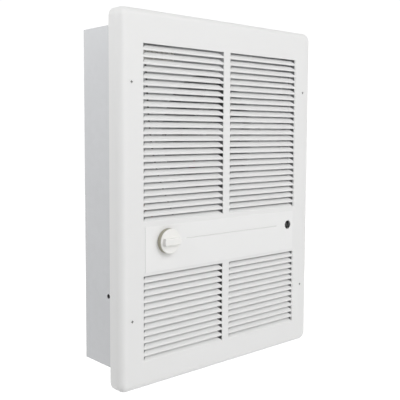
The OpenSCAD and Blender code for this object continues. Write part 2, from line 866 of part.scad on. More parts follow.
module fan_deck() {
    thread_d = deck_screw_d + 2 * thread_fit;
    color("silver") difference() {
        block([-deck_half_w, deck_y, -deck_half_h], [deck_half_w, deck_back_y, deck_half_h]);
        translate([0, deck_y - 1, fan_z]) rotate([-90, 0, 0])
            cylinder(r = ring_hole_r, h = deck_sheet + 2, $fn = wide_sides);
        block([-opening_half_w, deck_y - 1, element_z - opening_h / 2],
            [opening_half_w, deck_back_y + 1, element_z + opening_h / 2]);
        for (x = [-tab_screw_x, tab_screw_x], z = [-tab_z, tab_z])
            deck_hole(x, z, deck_screw_d + 2 * screw_clearance);
        for (place = ring_rivet_places)
            deck_hole(place[0], place[1], rivet_d + 2 * thread_fit);
        for (place = concat(strap_screw_places, plate_screw_places, bracket_screw_places))
            deck_hole(place[0], place[1], thread_d);
        for (place = switch_places) {
            deck_hole(place[0], place[1], switch_cup_d + 2 * screw_clearance);
            for (side = [-1, 1])
                deck_hole(place[0] + side * switch_screw_side, place[1],
                    small_screw_d + 2 * thread_fit);
        }
        for (place = grommet_places)
            deck_hole(place[0], place[1], grommet_hole_d);
        for (z = clip_heights)
            deck_hole(clip_screw_x, z, small_screw_d + 2 * thread_fit);
    }
}

// Places of small holes in the deck, as [x, z]
ring_rivet_places = [for (i = [0:rivet_count - 1])
    let (turn = 360 * i / rivet_count + 30, r = ring_hole_r + ring_lip / 2)
    [r * cos(turn), fan_z + r * sin(turn)]];
strap_screw_places = [for (sx = [-1, 1], sz = [-1, 1])
    [sx * (strap_leg_x + strap_foot - strap_screw_set), fan_z + sz * strap_foot_screw_z]];
plate_screw_places = [for (sx = [-1, 1], sz = [-1, 1])
    [sx * plate_screw_x, element_z + sz * plate_screw_z]];
bracket_screw_places = [for (sx = [-1, 1], z = [bracket_bottom_z - bracket_screw_set,
    bracket_top_z + bracket_screw_set]) [sx * bracket_screw_x, z]];
switch_places = [[reset_side, controls_z], [delay_x, delay_z]];

module deck_screw(len) {
    pan_screw(deck_screw_d, deck_screw_head_d, deck_screw_head_h, len);
}

module deck_screws() {
    color("gainsboro") for (x = [-tab_screw_x, tab_screw_x], z = [-tab_z, tab_z])
        translate([x, deck_y, z]) deck_screw(deck_screw_len);
}

module deck_grommets() {
    front = deck_y - grommet_lip;
    back = deck_back_y + grommet_lip;
    color("dimgray") for (place = grommet_places)
        translate([place[0], 0, place[1]]) difference() {
            union() {
                bar_y(0, 0, front, deck_y, grommet_lip_d);
                bar_y(0, 0, front, back, grommet_hole_d - grommet_play);
                bar_y(0, 0, deck_back_y, back, grommet_lip_d);
            }
            bar_y(0, 0, front - 1, back + 1, grommet_bore_d);
        }
}

// ---------- Inlet ring and fan ----------

module inlet_ring() {
    color("silver") difference() {
        translate([0, deck_y, fan_z]) face_room() rotate_extrude($fn = wide_sides) {
            translate([ring_hole_r, 0]) square([ring_lip, ring_sheet]);
            translate([throat_r, ring_sheet - throat_depth])
                square([ring_sheet, throat_depth - bell_r]);
            translate([ring_hole_r, ring_sheet - bell_r]) intersection() {
                difference() {
                    circle(bell_r, $fn = wide_sides);
                    circle(bell_r - ring_sheet, $fn = wide_sides);
                }
                translate([-bell_r, 0]) square(bell_r);
            }
        }
        for (place = ring_rivet_places)
            bar_y(place[0], place[1], deck_y - 2 * ring_sheet, deck_y + 1,
                rivet_d + 2 * thread_fit);
    }
}

module ring_rivets() {
    color("gainsboro") for (place = ring_rivet_places) {
        bar_y(place[0], place[1], deck_y - ring_sheet - rivet_head_h, deck_y - ring_sheet,
            rivet_front_d);
        bar_y(place[0], place[1], deck_y - ring_sheet, deck_back_y, rivet_d);
        bar_y(place[0], place[1], deck_back_y, deck_back_y + rivet_head_h, rivet_back_d);
    }
}

// One blade, flat, from the hub's disc to the tip
module blade_outline() {
    tip_r = fan_d / 2;
    root_x = fan_disc_r - blade_root_set;
    intersection() {
        circle(tip_r, $fn = wide_sides);
        polygon([
            [root_x, -blade_chord * blade_root / 2],
            [tip_r + blade_over, -blade_chord / 2],
            [tip_r + blade_over, blade_chord / 2],
            [root_x, blade_chord * blade_root / 2],
        ]);
    }
}

module fan_blade() {
    color("gainsboro") translate([0, fan_y, fan_z]) difference() {
        union() {
            bar_y(0, 0, -blade_sheet / 2, blade_sheet / 2, 2 * fan_disc_r, wide_sides);
            for (i = [0:fan_blades - 1])
                rotate([0, 360 * i / fan_blades, 0]) rotate([90 + blade_pitch, 0, 0])
                    translate([0, 0, -blade_sheet / 2]) linear_extrude(blade_sheet)
                        blade_outline();
        }
        bar_y(0, 0, -blade_chord, blade_chord, hub_spigot_d + 2 * thread_fit);
    }
}

// Hub with a spigot that carries the pressed blades
module fan_hub() {
    front = fan_y - blade_sheet / 2;
    color("silver") difference() {
        union() {
            bar_y(0, fan_z, front - hub_lip, front + blade_sheet, hub_spigot_d);
            bar_y(0, fan_z, front + blade_sheet, front + hub_len, hub_d);
            bar_y(0, fan_z, front - hub_lip, front, hub_d);
        }
        bar_y(0, fan_z, front - hub_lip - 1, front + hub_len + 1, motor_shaft_d + 2 * running_fit);
        translate([0, hub_screw_y, fan_z])
            cylinder(d = hub_screw_d + 2 * thread_fit, h = hub_d, $fn = round_sides);
    }
}

hub_screw_y = fan_y + hub_screw_set;

module hub_screw() {
    seat = motor_shaft_d / 2 + running_fit + hub_screw_gap;
    color("dimgray") translate([0, hub_screw_y, fan_z + seat])
        cylinder(d = hub_screw_d, h = (hub_d - motor_shaft_d) / 2 - 0.5, $fn = round_sides);
}

module motor_shaft() {
    color("silver") bar_y(0, fan_z, fan_y - shaft_lead,
        rear_bearing_y + rear_bearing_len, motor_shaft_d);
}

// ---------- Motor ----------

module motor_bracket() {
    color("lightgray") difference() {
        union() {
            block([-strap_leg_x, strap_y, fan_z - strap_w / 2],
                [strap_leg_x, strap_back_y, fan_z + strap_w / 2]);
            both_sides() {
                block([strap_leg_x, deck_back_y, fan_z - strap_w / 2],
                    [strap_leg_x + strap_sheet, strap_back_y, fan_z + strap_w / 2]);
                block([strap_leg_x, deck_back_y, fan_z - strap_w / 2],
                    [strap_leg_x + strap_foot, deck_back_y + strap_sheet,
                        fan_z + strap_w / 2]);
            }
        }
        bar_y(0, fan_z, strap_y - 1, strap_back_y + 1, hub_d + hub_room);
        for (sx = [-1, 1])
            bar_y(sx * motor_bolt_side, fan_z, strap_y - 1, strap_back_y + 1,
                motor_bolt_d + 2 * screw_clearance);
        for (sx = [-1, 1])
            bar_y(sx * strap_leg_x * strap_hole_share, fan_z, strap_y - 1, strap_back_y + 1,
                strap_hole_d);
        for (place = strap_screw_places)
            bar_y(place[0], place[1], deck_y, deck_back_y + 2 * strap_sheet,
                deck_screw_d + 2 * thread_fit);
    }
}

module motor_bracket_screws() {
    color("gainsboro") for (place = strap_screw_places)
        translate([place[0], deck_y, place[1]]) deck_screw(deck_screw_len);
}

module motor_stack() {
    shade_hole = shade_wire + 2 * shade_play;
    color("gray") translate([0, 0, fan_z]) difference() {
        block([-stack_w / 2, stack_y, -stack_bottom], [stack_w / 2, stack_back_y, stack_top]);
        bar_y(0, 0, stack_y - 1, stack_back_y + 1, stator_bore_d);
        block([-window_half_w, stack_y - 1, coil_bar_h - stack_bottom],
            [window_half_w, stack_back_y + 1, -window_top]);
        for (sx = [-1, 1])
            bar_y(sx * motor_bolt_side, 0, stack_y - 1, stack_back_y + 1,
                motor_bolt_d + 2 * screw_clearance);
        for (turn = [0, 180], x = [shade_inner_x, shade_outer_x])
            rotate([0, turn, 0])
                translate([x - shade_play, stack_y - 1, shade_z - shade_play])
                    cube([shade_hole, stack_len + 2, shade_hole]);
    }
}

// A copper loop through two square holes at each side of the bore
module shading_rings() {
    front = stack_y - 2 * shade_play;
    back = stack_back_y + 2 * shade_play;
    color("peru") translate([0, 0, fan_z]) for (turn = [0, 180])
        rotate([0, turn, 0]) difference() {
            block([shade_inner_x, front - shade_wire, shade_z],
                [shade_outer_x + shade_wire, back + shade_wire, shade_z + shade_wire]);
            block([shade_inner_x + shade_wire, front, shade_z - 1],
                [shade_outer_x, back, shade_z + shade_wire + 1]);
        }
}

// Middle of the coil bar, and the bar's section
coil_z = fan_z - stack_bottom + coil_bar_h / 2;
coil_y = stack_y + stack_len / 2;

module coil_layer(half_len, in_growth, out_growth, r) {
    translate([-half_len, coil_y, coil_z]) rotate([0, 90, 0]) linear_extrude(2 * half_len)
        difference() {
            round_rect(coil_bar_h + 2 * out_growth, stack_len + 2 * out_growth, r);
            square([coil_bar_h + 2 * in_growth, stack_len + 2 * in_growth], center = true);
        }
}

module coil_bobbin() {
    color("ivory") {
        coil_layer(bobbin_half_len, bobbin_gap, bobbin_gap + bobbin_wall, bobbin_core_r);
        for (sx = [-1, 1])
            translate([sx * (bobbin_half_len - bobbin_wall / 2), 0, 0])
                coil_layer(bobbin_wall / 2, bobbin_gap,
                    bobbin_gap + bobbin_wall + winding_h, bobbin_r);
    }
}

module motor_coil() {
    inside = bobbin_gap + bobbin_wall + winding_gap;
    color("firebrick") coil_layer(bobbin_half_len - bobbin_wall - winding_end_gap, inside,
        inside + winding_h - winding_inset, winding_r);
}

// A cast bracket: two pads on the bolts, an arm, and a boss for the bearing
module end_bracket(pad_front, pad_back, arm_front, boss_front, boss_back) {
    difference() {
        union() {
            for (sx = [-1, 1])
                bar_y(sx * motor_bolt_side, fan_z, pad_front, pad_back, pad_d);
            block([-motor_bolt_side, arm_front, fan_z - arm_h / 2],
                [motor_bolt_side, arm_front + arm_t, fan_z + arm_h / 2]);
            bar_y(0, fan_z, boss_front, boss_back, boss_d);
        }
        bar_y(0, fan_z, boss_front - 1, boss_back + 1, bearing_d + 2 * thread_fit);
        for (sx = [-1, 1])
            bar_y(sx * motor_bolt_side, fan_z, pad_front - 1, pad_back + 1,
                motor_bolt_d + 2 * screw_clearance);
    }
}

module motor_front_bracket() {
    color("silver") end_bracket(strap_back_y, stack_y, strap_back_y + front_arm_set,
        front_bearing_y, front_bearing_y + front_bearing_len);
}

module motor_rear_bracket() {
    color("silver") end_bracket(stack_back_y, stack_back_y + rear_pad_len,
        rear_bearing_y + rear_arm_set, rear_bearing_y, rear_bearing_y + rear_bearing_len);
}

module bearing(y, length) {
    color("darkgoldenrod") difference() {
        bar_y(0, fan_z, y, y + length, bearing_d);
        bar_y(0, fan_z, y - 1, y + length + 1, motor_shaft_d + 2 * running_fit);
    }
}

module front_bearing() {
    bearing(front_bearing_y, front_bearing_len);
}

module rear_bearing() {
    bearing(rear_bearing_y, rear_bearing_len);
}

module motor_bolts() {
    back = stack_back_y + rear_pad_len;
    color("gainsboro") for (sx = [-1, 1])
        translate([sx * motor_bolt_side, back, fan_z]) rotate([0, 0, 180])
            pan_screw(motor_bolt_d, motor_head_d, motor_head_h, back - strap_y + motor_nut_h);
}

module motor_nuts() {
    color("gainsboro") for (sx = [-1, 1])
        translate([sx * motor_bolt_side, 0, fan_z])
            hex_nut(motor_head_d, motor_bolt_d + 2 * thread_fit, strap_y - motor_nut_h, strap_y);
}

module rotor_core() {
    rotor_d = stator_bore_d - 2 * air_gap;
    color("darkgray") difference() {
        union() {
            bar_y(0, fan_z, stack_y, stack_back_y, rotor_d);
            bar_y(0, fan_z, stack_y - end_ring_len, stack_back_y + end_ring_len,
                rotor_d - 2 * end_ring_step);
        }
        bar_y(0, fan_z, stack_y - through, stack_back_y + through,
            motor_shaft_d + 2 * running_fit);
    }
}

// ---------- Heating element ----------

// Heights of the passes, from the top
pass_z = [for (i = [0:element_passes - 1]) first_pass_z - i * pass_pitch];

module tube_bend(side, z) {
    translate([side * tube_bend_x, element_y, z]) rotate([90, 0, 0])
        rotate([0, 0, side > 0 ? -90 : 90]) rotate_extrude(angle = 180, $fn = round_sides)
            translate([pass_pitch / 2, 0]) circle(d = element_tube_d, $fn = round_sides);
}

module element_tube() {
    last = element_passes - 1;
    color("dimgray") {
        for (i = [0:last])
            bar_x(i == 0 || i == last ? -tube_end_x : -tube_bend_x, tube_bend_x,
                element_y, pass_z[i], element_tube_d);
        for (i = [0:last - 1])
            tube_bend(i % 2 == 0 ? 1 : -1, (pass_z[i] + pass_z[i + 1]) / 2);
    }
}

// The outline that fins and end plates share, lying in X and Y and centred on the element
module pass_holes(growth) {
    for (z = pass_z)
        translate([z - element_z, 0])
            circle(d = element_tube_d + 2 * growth, $fn = round_sides);
}

module element_fins() {
    color("gray") for (i = [0:fin_count - 1])
        translate([(i - (fin_count - 1) / 2) * fin_pitch - fin_sheet / 2, element_y, element_z])
            rotate([0, 90, 0]) linear_extrude(fin_sheet) difference() {
                square([fin_h, fin_depth], center = true);
                mirror([1, 0]) pass_holes(running_fit);
            }
}

module element_plate() {
    front = deck_y - plate_proud;
    back = element_y + fin_depth / 2 + plate_rim;
    tab_y0 = deck_y - element_sheet;
    difference() {
        union() {
            block([plate_x, front, element_z - plate_h / 2],
                [plate_x + element_sheet, back, element_z + plate_h / 2]);
            block([plate_x, tab_y0, element_z - plate_h / 2],
                [plate_x + element_sheet + plate_tab, deck_y, element_z + plate_h / 2]);
        }
        translate([plate_x - 1, element_y, element_z]) rotate([0, 90, 0])
            linear_extrude(element_sheet + 2) mirror([1, 0]) pass_holes(running_fit);
        for (sz = [-1, 1])
            bar_y(plate_screw_x, element_z + sz * plate_screw_z, tab_y0 - 1, deck_y + 1,
                deck_screw_d + 2 * screw_clearance);
    }
}

module element_left_plate() {
    color("lightgray") mirror([1, 0, 0]) element_plate();
}

module element_right_plate() {
    color("lightgray") element_plate();
}

module element_screws() {
    color("gainsboro") for (place = plate_screw_places)
        translate([place[0], deck_y - element_sheet, place[1]])
            deck_screw(lip_screw_len);
}

module element_seals() {
    color("ivory") for (z = [pass_z[0], pass_z[element_passes - 1]])
        difference() {
            bar_x(-tube_end_x - seal_len, -tube_end_x, element_y, z, seal_d);
            bar_x(-tube_end_x - seal_len - 1, -tube_end_x + 1, element_y, z,
                pin_d + 2 * running_fit);
        }
}

module element_pins() {
    color("silver") for (z = [pass_z[0], pass_z[element_passes - 1]])
        bar_x(-pin_end_x, -tube_end_x, element_y, z, pin_d);
}

// ---------- Control bracket ----------

module control_bracket() {
    color("lightgray") difference() {
        translate([0, 0, band_z]) {
            bracket_half();
            mirror([0, 0, 1]) bracket_half();
        }
        bar_y(-knob_side, controls_z, bracket_front_y - 1, bracket_back_y + 1,
            bushing_d + 2 * screw_clearance);
        bar_y(reset_side, controls_z, bracket_front_y - 1, bracket_back_y + 1,
            guide_d + 2 * running_fit);
        for (place = bracket_screw_places)
            bar_y(place[0], place[1], deck_y - 2 * bracket_sheet, deck_y + 1,
                deck_screw_d + 2 * screw_clearance);
        translate([harness_hole[0], harness_hole[1], bracket_top_z - through])
            cylinder(d = harness_hole_d, h = 2 * through, $fn = round_sides);
        translate([capillary_hole[0], capillary_hole[1], bracket_top_z - through])
            cylinder(d = capillary_hole_d, h = 2 * through, $fn = round_sides);
    }
}

// Upper half of the hat section: its front, one side wall and one lip
module bracket_half() {
    wall_z = bracket_half_h - bracket_sheet;
    block([-bracket_half_w, bracket_front_y, -0.5],
        [bracket_half_w, bracket_back_y, bracket_half_h]);
    block([-bracket_half_w, bracket_front_y, wall_z],
        [bracket_half_w, deck_y, bracket_half_h]);
    block([-bracket_half_w, deck_y - bracket_sheet, wall_z],
        [bracket_half_w, deck_y, bracket_half_h + bracket_lip]);
}

module bracket_screws() {
    color("gainsboro") for (place = bracket_screw_places)
        translate([place[0], deck_y - bracket_sheet, place[1]])
            deck_screw(lip_screw_len);
}

// ---------- Thermostat ----------

module thermostat_body() {
    color("dimgray") translate([-knob_side, 0, controls_z]) difference() {
        union() {
            block([-thermostat_w / 2, bracket_back_y, -thermostat_h / 2],
                [thermostat_w / 2, bracket_back_y + thermostat_depth, thermostat_h / 2]);
            bar_y(0, 0, bracket_back_y - bushing_len, bracket_back_y + 1, bushing_d);
        }
        bar_y(0, 0, bracket_back_y - bushing_len - 1,
            bracket_back_y + shaft_inner_len + shaft_end_play,
            control_shaft_d + 2 * running_fit);
    }
}

module thermostat_nut() {
    color("silver") translate([-knob_side, 0, controls_z])
        hex_nut(nut_across, bushing_d + 2 * thread_fit, bracket_front_y - nut_h, bracket_front_y);
}

// The shaft's D section, grown by a clearance, from one y to another
module shaft_section(y0, y1, growth) {
    intersection() {
        bar_y(0, 0, y0, y1, control_shaft_d + 2 * growth);
        block([-control_shaft_d, y0, -control_shaft_d],
            [control_shaft_d, y1, control_flat + growth]);
    }
}

module thermostat_shaft() {
    tip = knob_back_y - knob_socket_len;
    color("silver") translate([-knob_side, 0, controls_z]) {
        shaft_section(tip, knob_back_y, 0);
        bar_y(0, 0, knob_back_y, bracket_back_y + shaft_inner_len, control_shaft_d);
    }
}

module thermostat_knob() {
    color("floralwhite") translate([-knob_side, 0, controls_z]) difference() {
        union() {
            bar_y(0, 0, knob_disc_y, knob_back_y, knob_d, wide_sides);
            intersection() {
                bar_y(0, 0, knob_front_y, knob_disc_y + 1, knob_grip_len, wide_sides);
                block([-knob_d, knob_front_y, -knob_grip_w / 2],
                    [knob_d, knob_disc_y + 1, knob_grip_w / 2]);
            }
        }
        shaft_section(knob_back_y - knob_socket_len - socket_end_play, knob_back_y + 1, running_fit);
    }
}

module thermostat_bulb() {
    color("peru") translate([bulb_x, bulb_y, bulb_z])
        cylinder(d = bulb_d, h = bulb_len, $fn = round_sides);
}

module thermostat_capillary() {
    color("peru") swept_tube(capillary_path, capillary_d);
}

// A strap round the bulb, screwed to the deck
module bulb_clip(z) {
    bore = bulb_d + 2 * clip_play;
    outer = bore + 2 * clip_sheet;
    difference() {
        union() {
            translate([bulb_x, bulb_y, z - clip_w / 2])
                cylinder(d = outer, h = clip_w, $fn = round_sides);
            block([bulb_x, bulb_y, z - clip_w / 2],
                [bulb_x + outer / 2, deck_y, z + clip_w / 2]);
            block([bulb_x, deck_y - clip_sheet, z - clip_w / 2],
                [clip_screw_x + clip_tail, deck_y, z + clip_w / 2]);
        }
        translate([bulb_x, bulb_y, z - clip_w])
            cylinder(d = bore, h = 2 * clip_w, $fn = round_sides);
        bar_y(clip_screw_x, z, deck_y - through, deck_y + 1, small_screw_d + 2 * screw_clearance);
    }
}

module bulb_clips() {
    color("lightgray") for (z = clip_heights)
        bulb_clip(z);
}

// ---------- Reset button and switches ----------

module reset_guide() {
    color("black") translate([reset_side, 0, controls_z]) difference() {
        union() {
            bar_y(0, 0, guide_front_y, bracket_front_y, guide_lip_d);
            bar_y(0, 0, guide_front_y, guide_back_y, guide_d);
        }
        bar_y(0, 0, guide_front_y - 1, guide_floor_y, reset_d + 2 * reset_fit);
        bar_y(0, 0, guide_floor_y - 1, guide_back_y + 1, reset_stem_d + 2 * reset_fit);
    }
}

module reset_button() {
    color("black") translate([reset_side, 0, controls_z]) {
        bar_y(0, 0, reset_cap_front_y, reset_cap_back_y, reset_d);
        bar_y(0, 0, reset_cap_back_y, reset_stem_back_y, reset_stem_d);
    }
}

// The spring is drawn at the length it has with the button pressed
spring_path = [for (i = [0:8 * spring_curls])
    let (turn = 45 * i, r = spring_d / 2, rise = spring_curl_pitch * i / 8)
    [reset_side + r * cos(turn), guide_floor_y - spring_play - spring_wire_d / 2 - rise,
        controls_z + r * sin(turn)]];
echo(str("Reset spring, least gap between curls in mm: ",
    min([for (i = [0:len(spring_path) - 7], k = [i + 6:len(spring_path) - 1])
        norm(spring_path[i] - spring_path[k])]) - spring_wire_d));

module reset_spring() {
    color("silver") swept_tube(spring_path, spring_wire_d, 6);
}

// A snap-disc switch: a cup through the deck, a flange on it, and a round body in front
module snap_switch(x, z, bore_d) {
    translate([x, 0, z]) difference() {
        union() {
            bar_y(0, 0, switch_top_y, switch_flange_y, switch_d);
            bar_y(0, 0, switch_flange_y, deck_back_y + switch_cup_len, switch_cup_d);
            block([-switch_flange_w / 2, switch_flange_y, -switch_flange_h / 2],
                [switch_flange_w / 2, deck_y, switch_flange_h / 2]);
        }
        if (bore_d > 0)
            bar_y(0, 0, switch_top_y - 1, reset_stem_back_y + reset_travel + stem_end_play, bore_d);
        for (side = [-1, 1])
            bar_y(side * switch_screw_side, 0, switch_flange_y - 1, deck_y + 1,
                small_screw_d + 2 * screw_clearance);
    }
}

module limit_switch() {
    color("saddlebrown")
        snap_switch(reset_side, controls_z, reset_stem_d + 2 * reset_fit);
}

module fan_delay_switch() {
    color("saddlebrown") snap_switch(delay_x, delay_z, 0);
}

module small_screw() {
    pan_screw(small_screw_d, small_screw_head_d, small_screw_head_h, small_screw_len);
}

module switch_screws() {
    color("gainsboro") {
        for (place = switch_places, side = [-1, 1])
            translate([place[0] + side * switch_screw_side, switch_flange_y, place[1]])
                small_screw();
        for (z = clip_heights)
            translate([clip_screw_x, deck_y - clip_sheet, z]) small_screw();
    }
}

// ---------- Terminal block ----------

module terminal_block() {
    front = deck_y - terminal_depth;
    color("ivory") translate([terminal_x, 0, terminal_z]) difference() {
        block([-terminal_w / 2, front, -terminal_h / 2], [terminal_w / 2, deck_y, terminal_h / 2]);
        for (x = pole_places) {
            block([x - pole_w / 2 + terminal_wall, front - 1, -terminal_h / 2 + terminal_rim],
                [x + pole_w / 2 - terminal_wall, front + terminal_recess,
                    terminal_h / 2 - terminal_rim]);
            bar_y(x, 0, front, front + terminal_bore_len, terminal_screw_d + 2 * thread_fit);
        }
    }
}

module terminal_screws() {
    seat = deck_y - terminal_depth + terminal_recess;
    color("silver") for (x = pole_places)
        translate([terminal_x + x, seat, terminal_z]) pan_screw(
            terminal_screw_d, terminal_head_d, terminal_head_h, terminal_screw_len);
}

// ---------- Internal wires ----------

module black_wires() {
    color("black") {
        swept_tube(line_wire_path, wire_d);
        swept_tube(limit_wire_path, wire_d);
    }
}

module white_wire() {
    color("white") swept_tube(neutral_wire_path, wire_d);
}

module red_wires() {
    color("red") {
        swept_tube(element_wire_path, wire_d);
        swept_tube(delay_wire_path, wire_d);
    }
}

module motor_leads() {
    color("blue") {
        swept_tube(motor_lead_path, wire_d);
        swept_tube(motor_return_path, wire_d);
    }
}

front_cover();
control_strip();
cover_screws();
wall_box_wrap();
wall_box_top();
wall_box_bottom();
ground_screw();
deck_tabs();
fan_deck();
deck_screws();
deck_grommets();
inlet_ring();
ring_rivets();
motor_bracket();
motor_bracket_screws();
motor_stack();
shading_rings();
coil_bobbin();
motor_coil();
motor_front_bracket();
motor_rear_bracket();
front_bearing();
rear_bearing();
motor_bolts();
motor_nuts();
rotor_core();
motor_shaft();
fan_blade();
fan_hub();
hub_screw();
element_tube();
element_fins();
element_left_plate();
element_right_plate();
element_seals();
element_pins();
element_screws();
control_bracket();
bracket_screws();
thermostat_body();
thermostat_nut();
thermostat_shaft();
thermostat_knob();
thermostat_bulb();
thermostat_capillary();
bulb_clips();
reset_guide();
reset_button();
reset_spring();
limit_switch();
fan_delay_switch();
switch_screws();
terminal_block();
terminal_screws();
black_wires();
white_wire();
red_wires();
motor_leads();
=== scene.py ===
import json
import math

import bmesh
import bpy
from mathutils import Matrix, Vector


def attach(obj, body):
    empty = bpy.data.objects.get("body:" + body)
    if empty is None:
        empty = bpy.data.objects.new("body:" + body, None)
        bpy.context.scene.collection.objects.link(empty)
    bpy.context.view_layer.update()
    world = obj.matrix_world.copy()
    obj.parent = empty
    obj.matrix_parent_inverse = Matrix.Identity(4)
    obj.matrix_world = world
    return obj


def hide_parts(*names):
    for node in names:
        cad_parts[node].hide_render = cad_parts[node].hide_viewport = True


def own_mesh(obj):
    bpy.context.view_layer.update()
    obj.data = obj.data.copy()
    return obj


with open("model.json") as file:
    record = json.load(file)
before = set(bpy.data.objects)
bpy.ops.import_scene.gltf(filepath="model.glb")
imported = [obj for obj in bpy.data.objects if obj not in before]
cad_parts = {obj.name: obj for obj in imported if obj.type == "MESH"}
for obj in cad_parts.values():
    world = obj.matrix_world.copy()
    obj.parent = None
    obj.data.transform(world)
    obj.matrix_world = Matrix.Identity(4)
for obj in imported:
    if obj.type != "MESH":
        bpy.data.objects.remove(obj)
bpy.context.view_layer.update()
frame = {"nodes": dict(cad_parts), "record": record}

# Looks of a recessed wall heater. The pressed cover, its screws, the control strip, the knob, the
# reset button and its spring, the fan, the wires and the capillary are modelled here with their
# soft edges. The rest keeps the solids' shapes, and every piece gets its finish.
#
# Metres. X runs to the right, Y into the wall and Z up. The origin is on the face of the wall,
# at the middle of the cover.

MM = 0.001
TINY = 1e-6
X = Vector((1, 0, 0))
Y = Vector((0, 1, 0))
Z = Vector((0, 0, 1))

# Edges, holes and materials in general
ROUND_PROFILE = 0.5
STRAIGHT_PROFILE = 0.25
SHEET_EDGE = 0.2 * MM
EDGE_ANGLE = math.radians(50)
SMOOTH_ANGLE = math.radians(32)
HOLE_SIDES = 24
HOLE_MARGIN = 4 * MM
SECOND_MATERIAL = 1
THIRD_MATERIAL = 2
ROUGHNESS_SWING = 0.14

# Front cover. A field of louvres is its left side, its top and its number of louvres.
COVER_W = 417 * MM
COVER_H = 556 * MM
COVER_D = 26 * MM
COVER_SHEET = 1.2 * MM
CORNER_R = 14 * MM
EDGE_R = 11 * MM
PAN_STEPS = 12
FACE_Y = -COVER_D
COLUMN_STARTS = (-166.5 * MM, 7.5 * MM)
COLUMN_W = 159 * MM
FIELDS = [(x, *field) for x in COLUMN_STARTS for field in ((228.5 * MM, 26), (-109 * MM, 13))]
LOUVRE_PITCH = 10 * MM
LOUVRE_LIP = 0.8 * MM
LOUVRE_BEND_R = 2 * MM
LOUVRE_LEAF = 7.2 * MM
LOUVRE_TILT = math.radians(42)
LOUVRE_CURL_R = 1.4 * MM
LOUVRE_CURL = math.radians(45)
LOUVRE_CORNER = 6.8 * MM
LOUVRE_STEPS = 3
SCREW_PLACES = [(x, z) for x in (-187.35 * MM, 187.35 * MM) for z in (-172.5 * MM, 172.5 * MM)]
DIMPLE_R = 3.8 * MM
DIMPLE_NECK_R = 2.2 * MM
DIMPLE_MARGIN = 2.5 * MM
SCREW_SIDES = 32
SCREW_HEAD_R = 3.5 * MM
SCREW_HEAD_H = 1.1 * MM
SCREW_R = 2 * MM
SCREW_TIP_R = 0.5 * MM
SCREW_BACK_Y = 0
RECESS_R = 2.1 * MM
RECESS_W = 1.2 * MM
RECESS_DEPTH = 0.7 * MM

# Controls
CONTROLS_Z = -60.25 * MM
KNOB_X = -123 * MM
KNOB_HOLE_R = 7 * MM
RESET_X = 151 * MM
RESET_HOLE_R = 7.5 * MM
STRIP_HALF_W = 164 * MM
STRIP_BOTTOM_Z = -104 * MM
STRIP_TOP_Z = -36.5 * MM
STRIP_FRONT_Y = -26.8 * MM
STRIP_SHEET = 0.75 * MM
STRIP_CORNER_R = 1.2 * MM
SCORE_LEFT_X = -85 * MM
SCORE_RIGHT_X = 121.5 * MM
SCORE_W = 2 * MM
SCORE_SLOPE = 0.4 * MM
SCORE_DEPTH = 0.3 * MM
KNOB_SIDES = 64
KNOB_R = 19 * MM
KNOB_TAPER = 0.3 * MM
KNOB_BACK_Y = -27.4 * MM
KNOB_SHADE_FRONT_Y = -34.3 * MM
KNOB_DISC_Y = -35.9 * MM
KNOB_FRONT_Y = -41.9 * MM
KNOB_EDGE_R = 1.5 * MM
KNOB_BACK_EDGE_R = 0.3 * MM
GRIP_R = 15.5 * MM
GRIP_FOOT = 1 * MM
GRIP_W = 11 * MM
GRIP_EDGE_R = 1.3 * MM
SHADED_END_NORMAL_X = -0.6
CAP_SIDES = 40
CAP_R = 4.5 * MM
CAP_FRONT_Y = -23.6 * MM
CAP_BACK_Y = -15.6 * MM
CAP_EDGE_R = 1.2 * MM
CAP_BACK_EDGE_R = 0.2 * MM
STEM_SIDES = 24
STEM_R = 2 * MM
STEM_BACK_Y = 2 * MM
STEM_END_R = 0.4 * MM
GUIDE_FLOOR_Y = -8.85 * MM
SPRING_R = 3.4 * MM
SPRING_WIRE_R = 0.25 * MM
SPRING_CURLS = 3
SPRING_END_CURL = 0.75
SPRING_STEPS_A_CURL = 12
SPRING_PLAY = 0.2 * MM

# Fan
FAN_Y = 36 * MM
FAN_Z = 98.5 * MM
FAN_R = 95 * MM
FAN_BLADES = 5
FAN_SIDES = 60
FAN_DISC_R = 30 * MM
FAN_BORE_R = 7.03 * MM
FAN_BEAD_R = 21 * MM
FAN_BEAD_W = 5 * MM
FAN_BEAD_H = 1 * MM
FAN_BEAD_STEPS = 4
BLADE_SHEET = 1.2 * MM
BLADE_PITCH = math.radians(25)
BLADE_ROOT_R = 27 * MM
BLADE_FULL_PITCH_R = 50 * MM
BLADE_ROOT_CHORD = 36 * MM
BLADE_CHORD = 62 * MM
BLADE_CAMBER = 3.5 * MM
BLADE_STEPS_OUT = 14
BLADE_STEPS_ACROSS = 12

# Wires, all in mm. Their routes are those of the solids.
WIRE_R = 1.3
CAPILLARY_R = 0.9
LINE_ROUTE = [
    (-142, 2, 207), (-142, 2, 204), (-141, 1, 190), (-136, 0, 100), (-122, 0, 40),
    (-100, 0, -5), (-90, 0, -24), (-88, 0, -44), (-83, 2, -58), (-70, 4, -80), (-52, 4, -86),
    (104, 4, -86), (126, 4, -79), (134, 4, -68), (139, 4, -60.25), (142, 4, -60.25),
]
LIMIT_ROUTE = [
    (151, 4, -69.25), (151, 4, -72.25), (150, 4, -78), (145, 4, -87), (134, 4, -92),
    (-62, 4, -93), (-80, 3, -88), (-89, 2, -77), (-98, 2, -72), (-101, 2, -72),
]
ELEMENT_ROUTE = [
    (-145, 2, -72), (-148, 2, -72), (-150, 6, -77), (-150, 11, -82), (-150, 21, -82),
    (-155, 29, -88), (-163, 29, -104), (-169, 27, -122), (-170, 26, -130), (-169, 26, -135),
    (-166, 26, -136.5), (-163, 26, -136.5),
]
DELAY_ROUTE = [
    (-101, -8, -56), (-88, -8, -56), (20, -4, -66), (40, 2, -70), (48, 4, -70.25),
    (51, 4, -70.25),
]
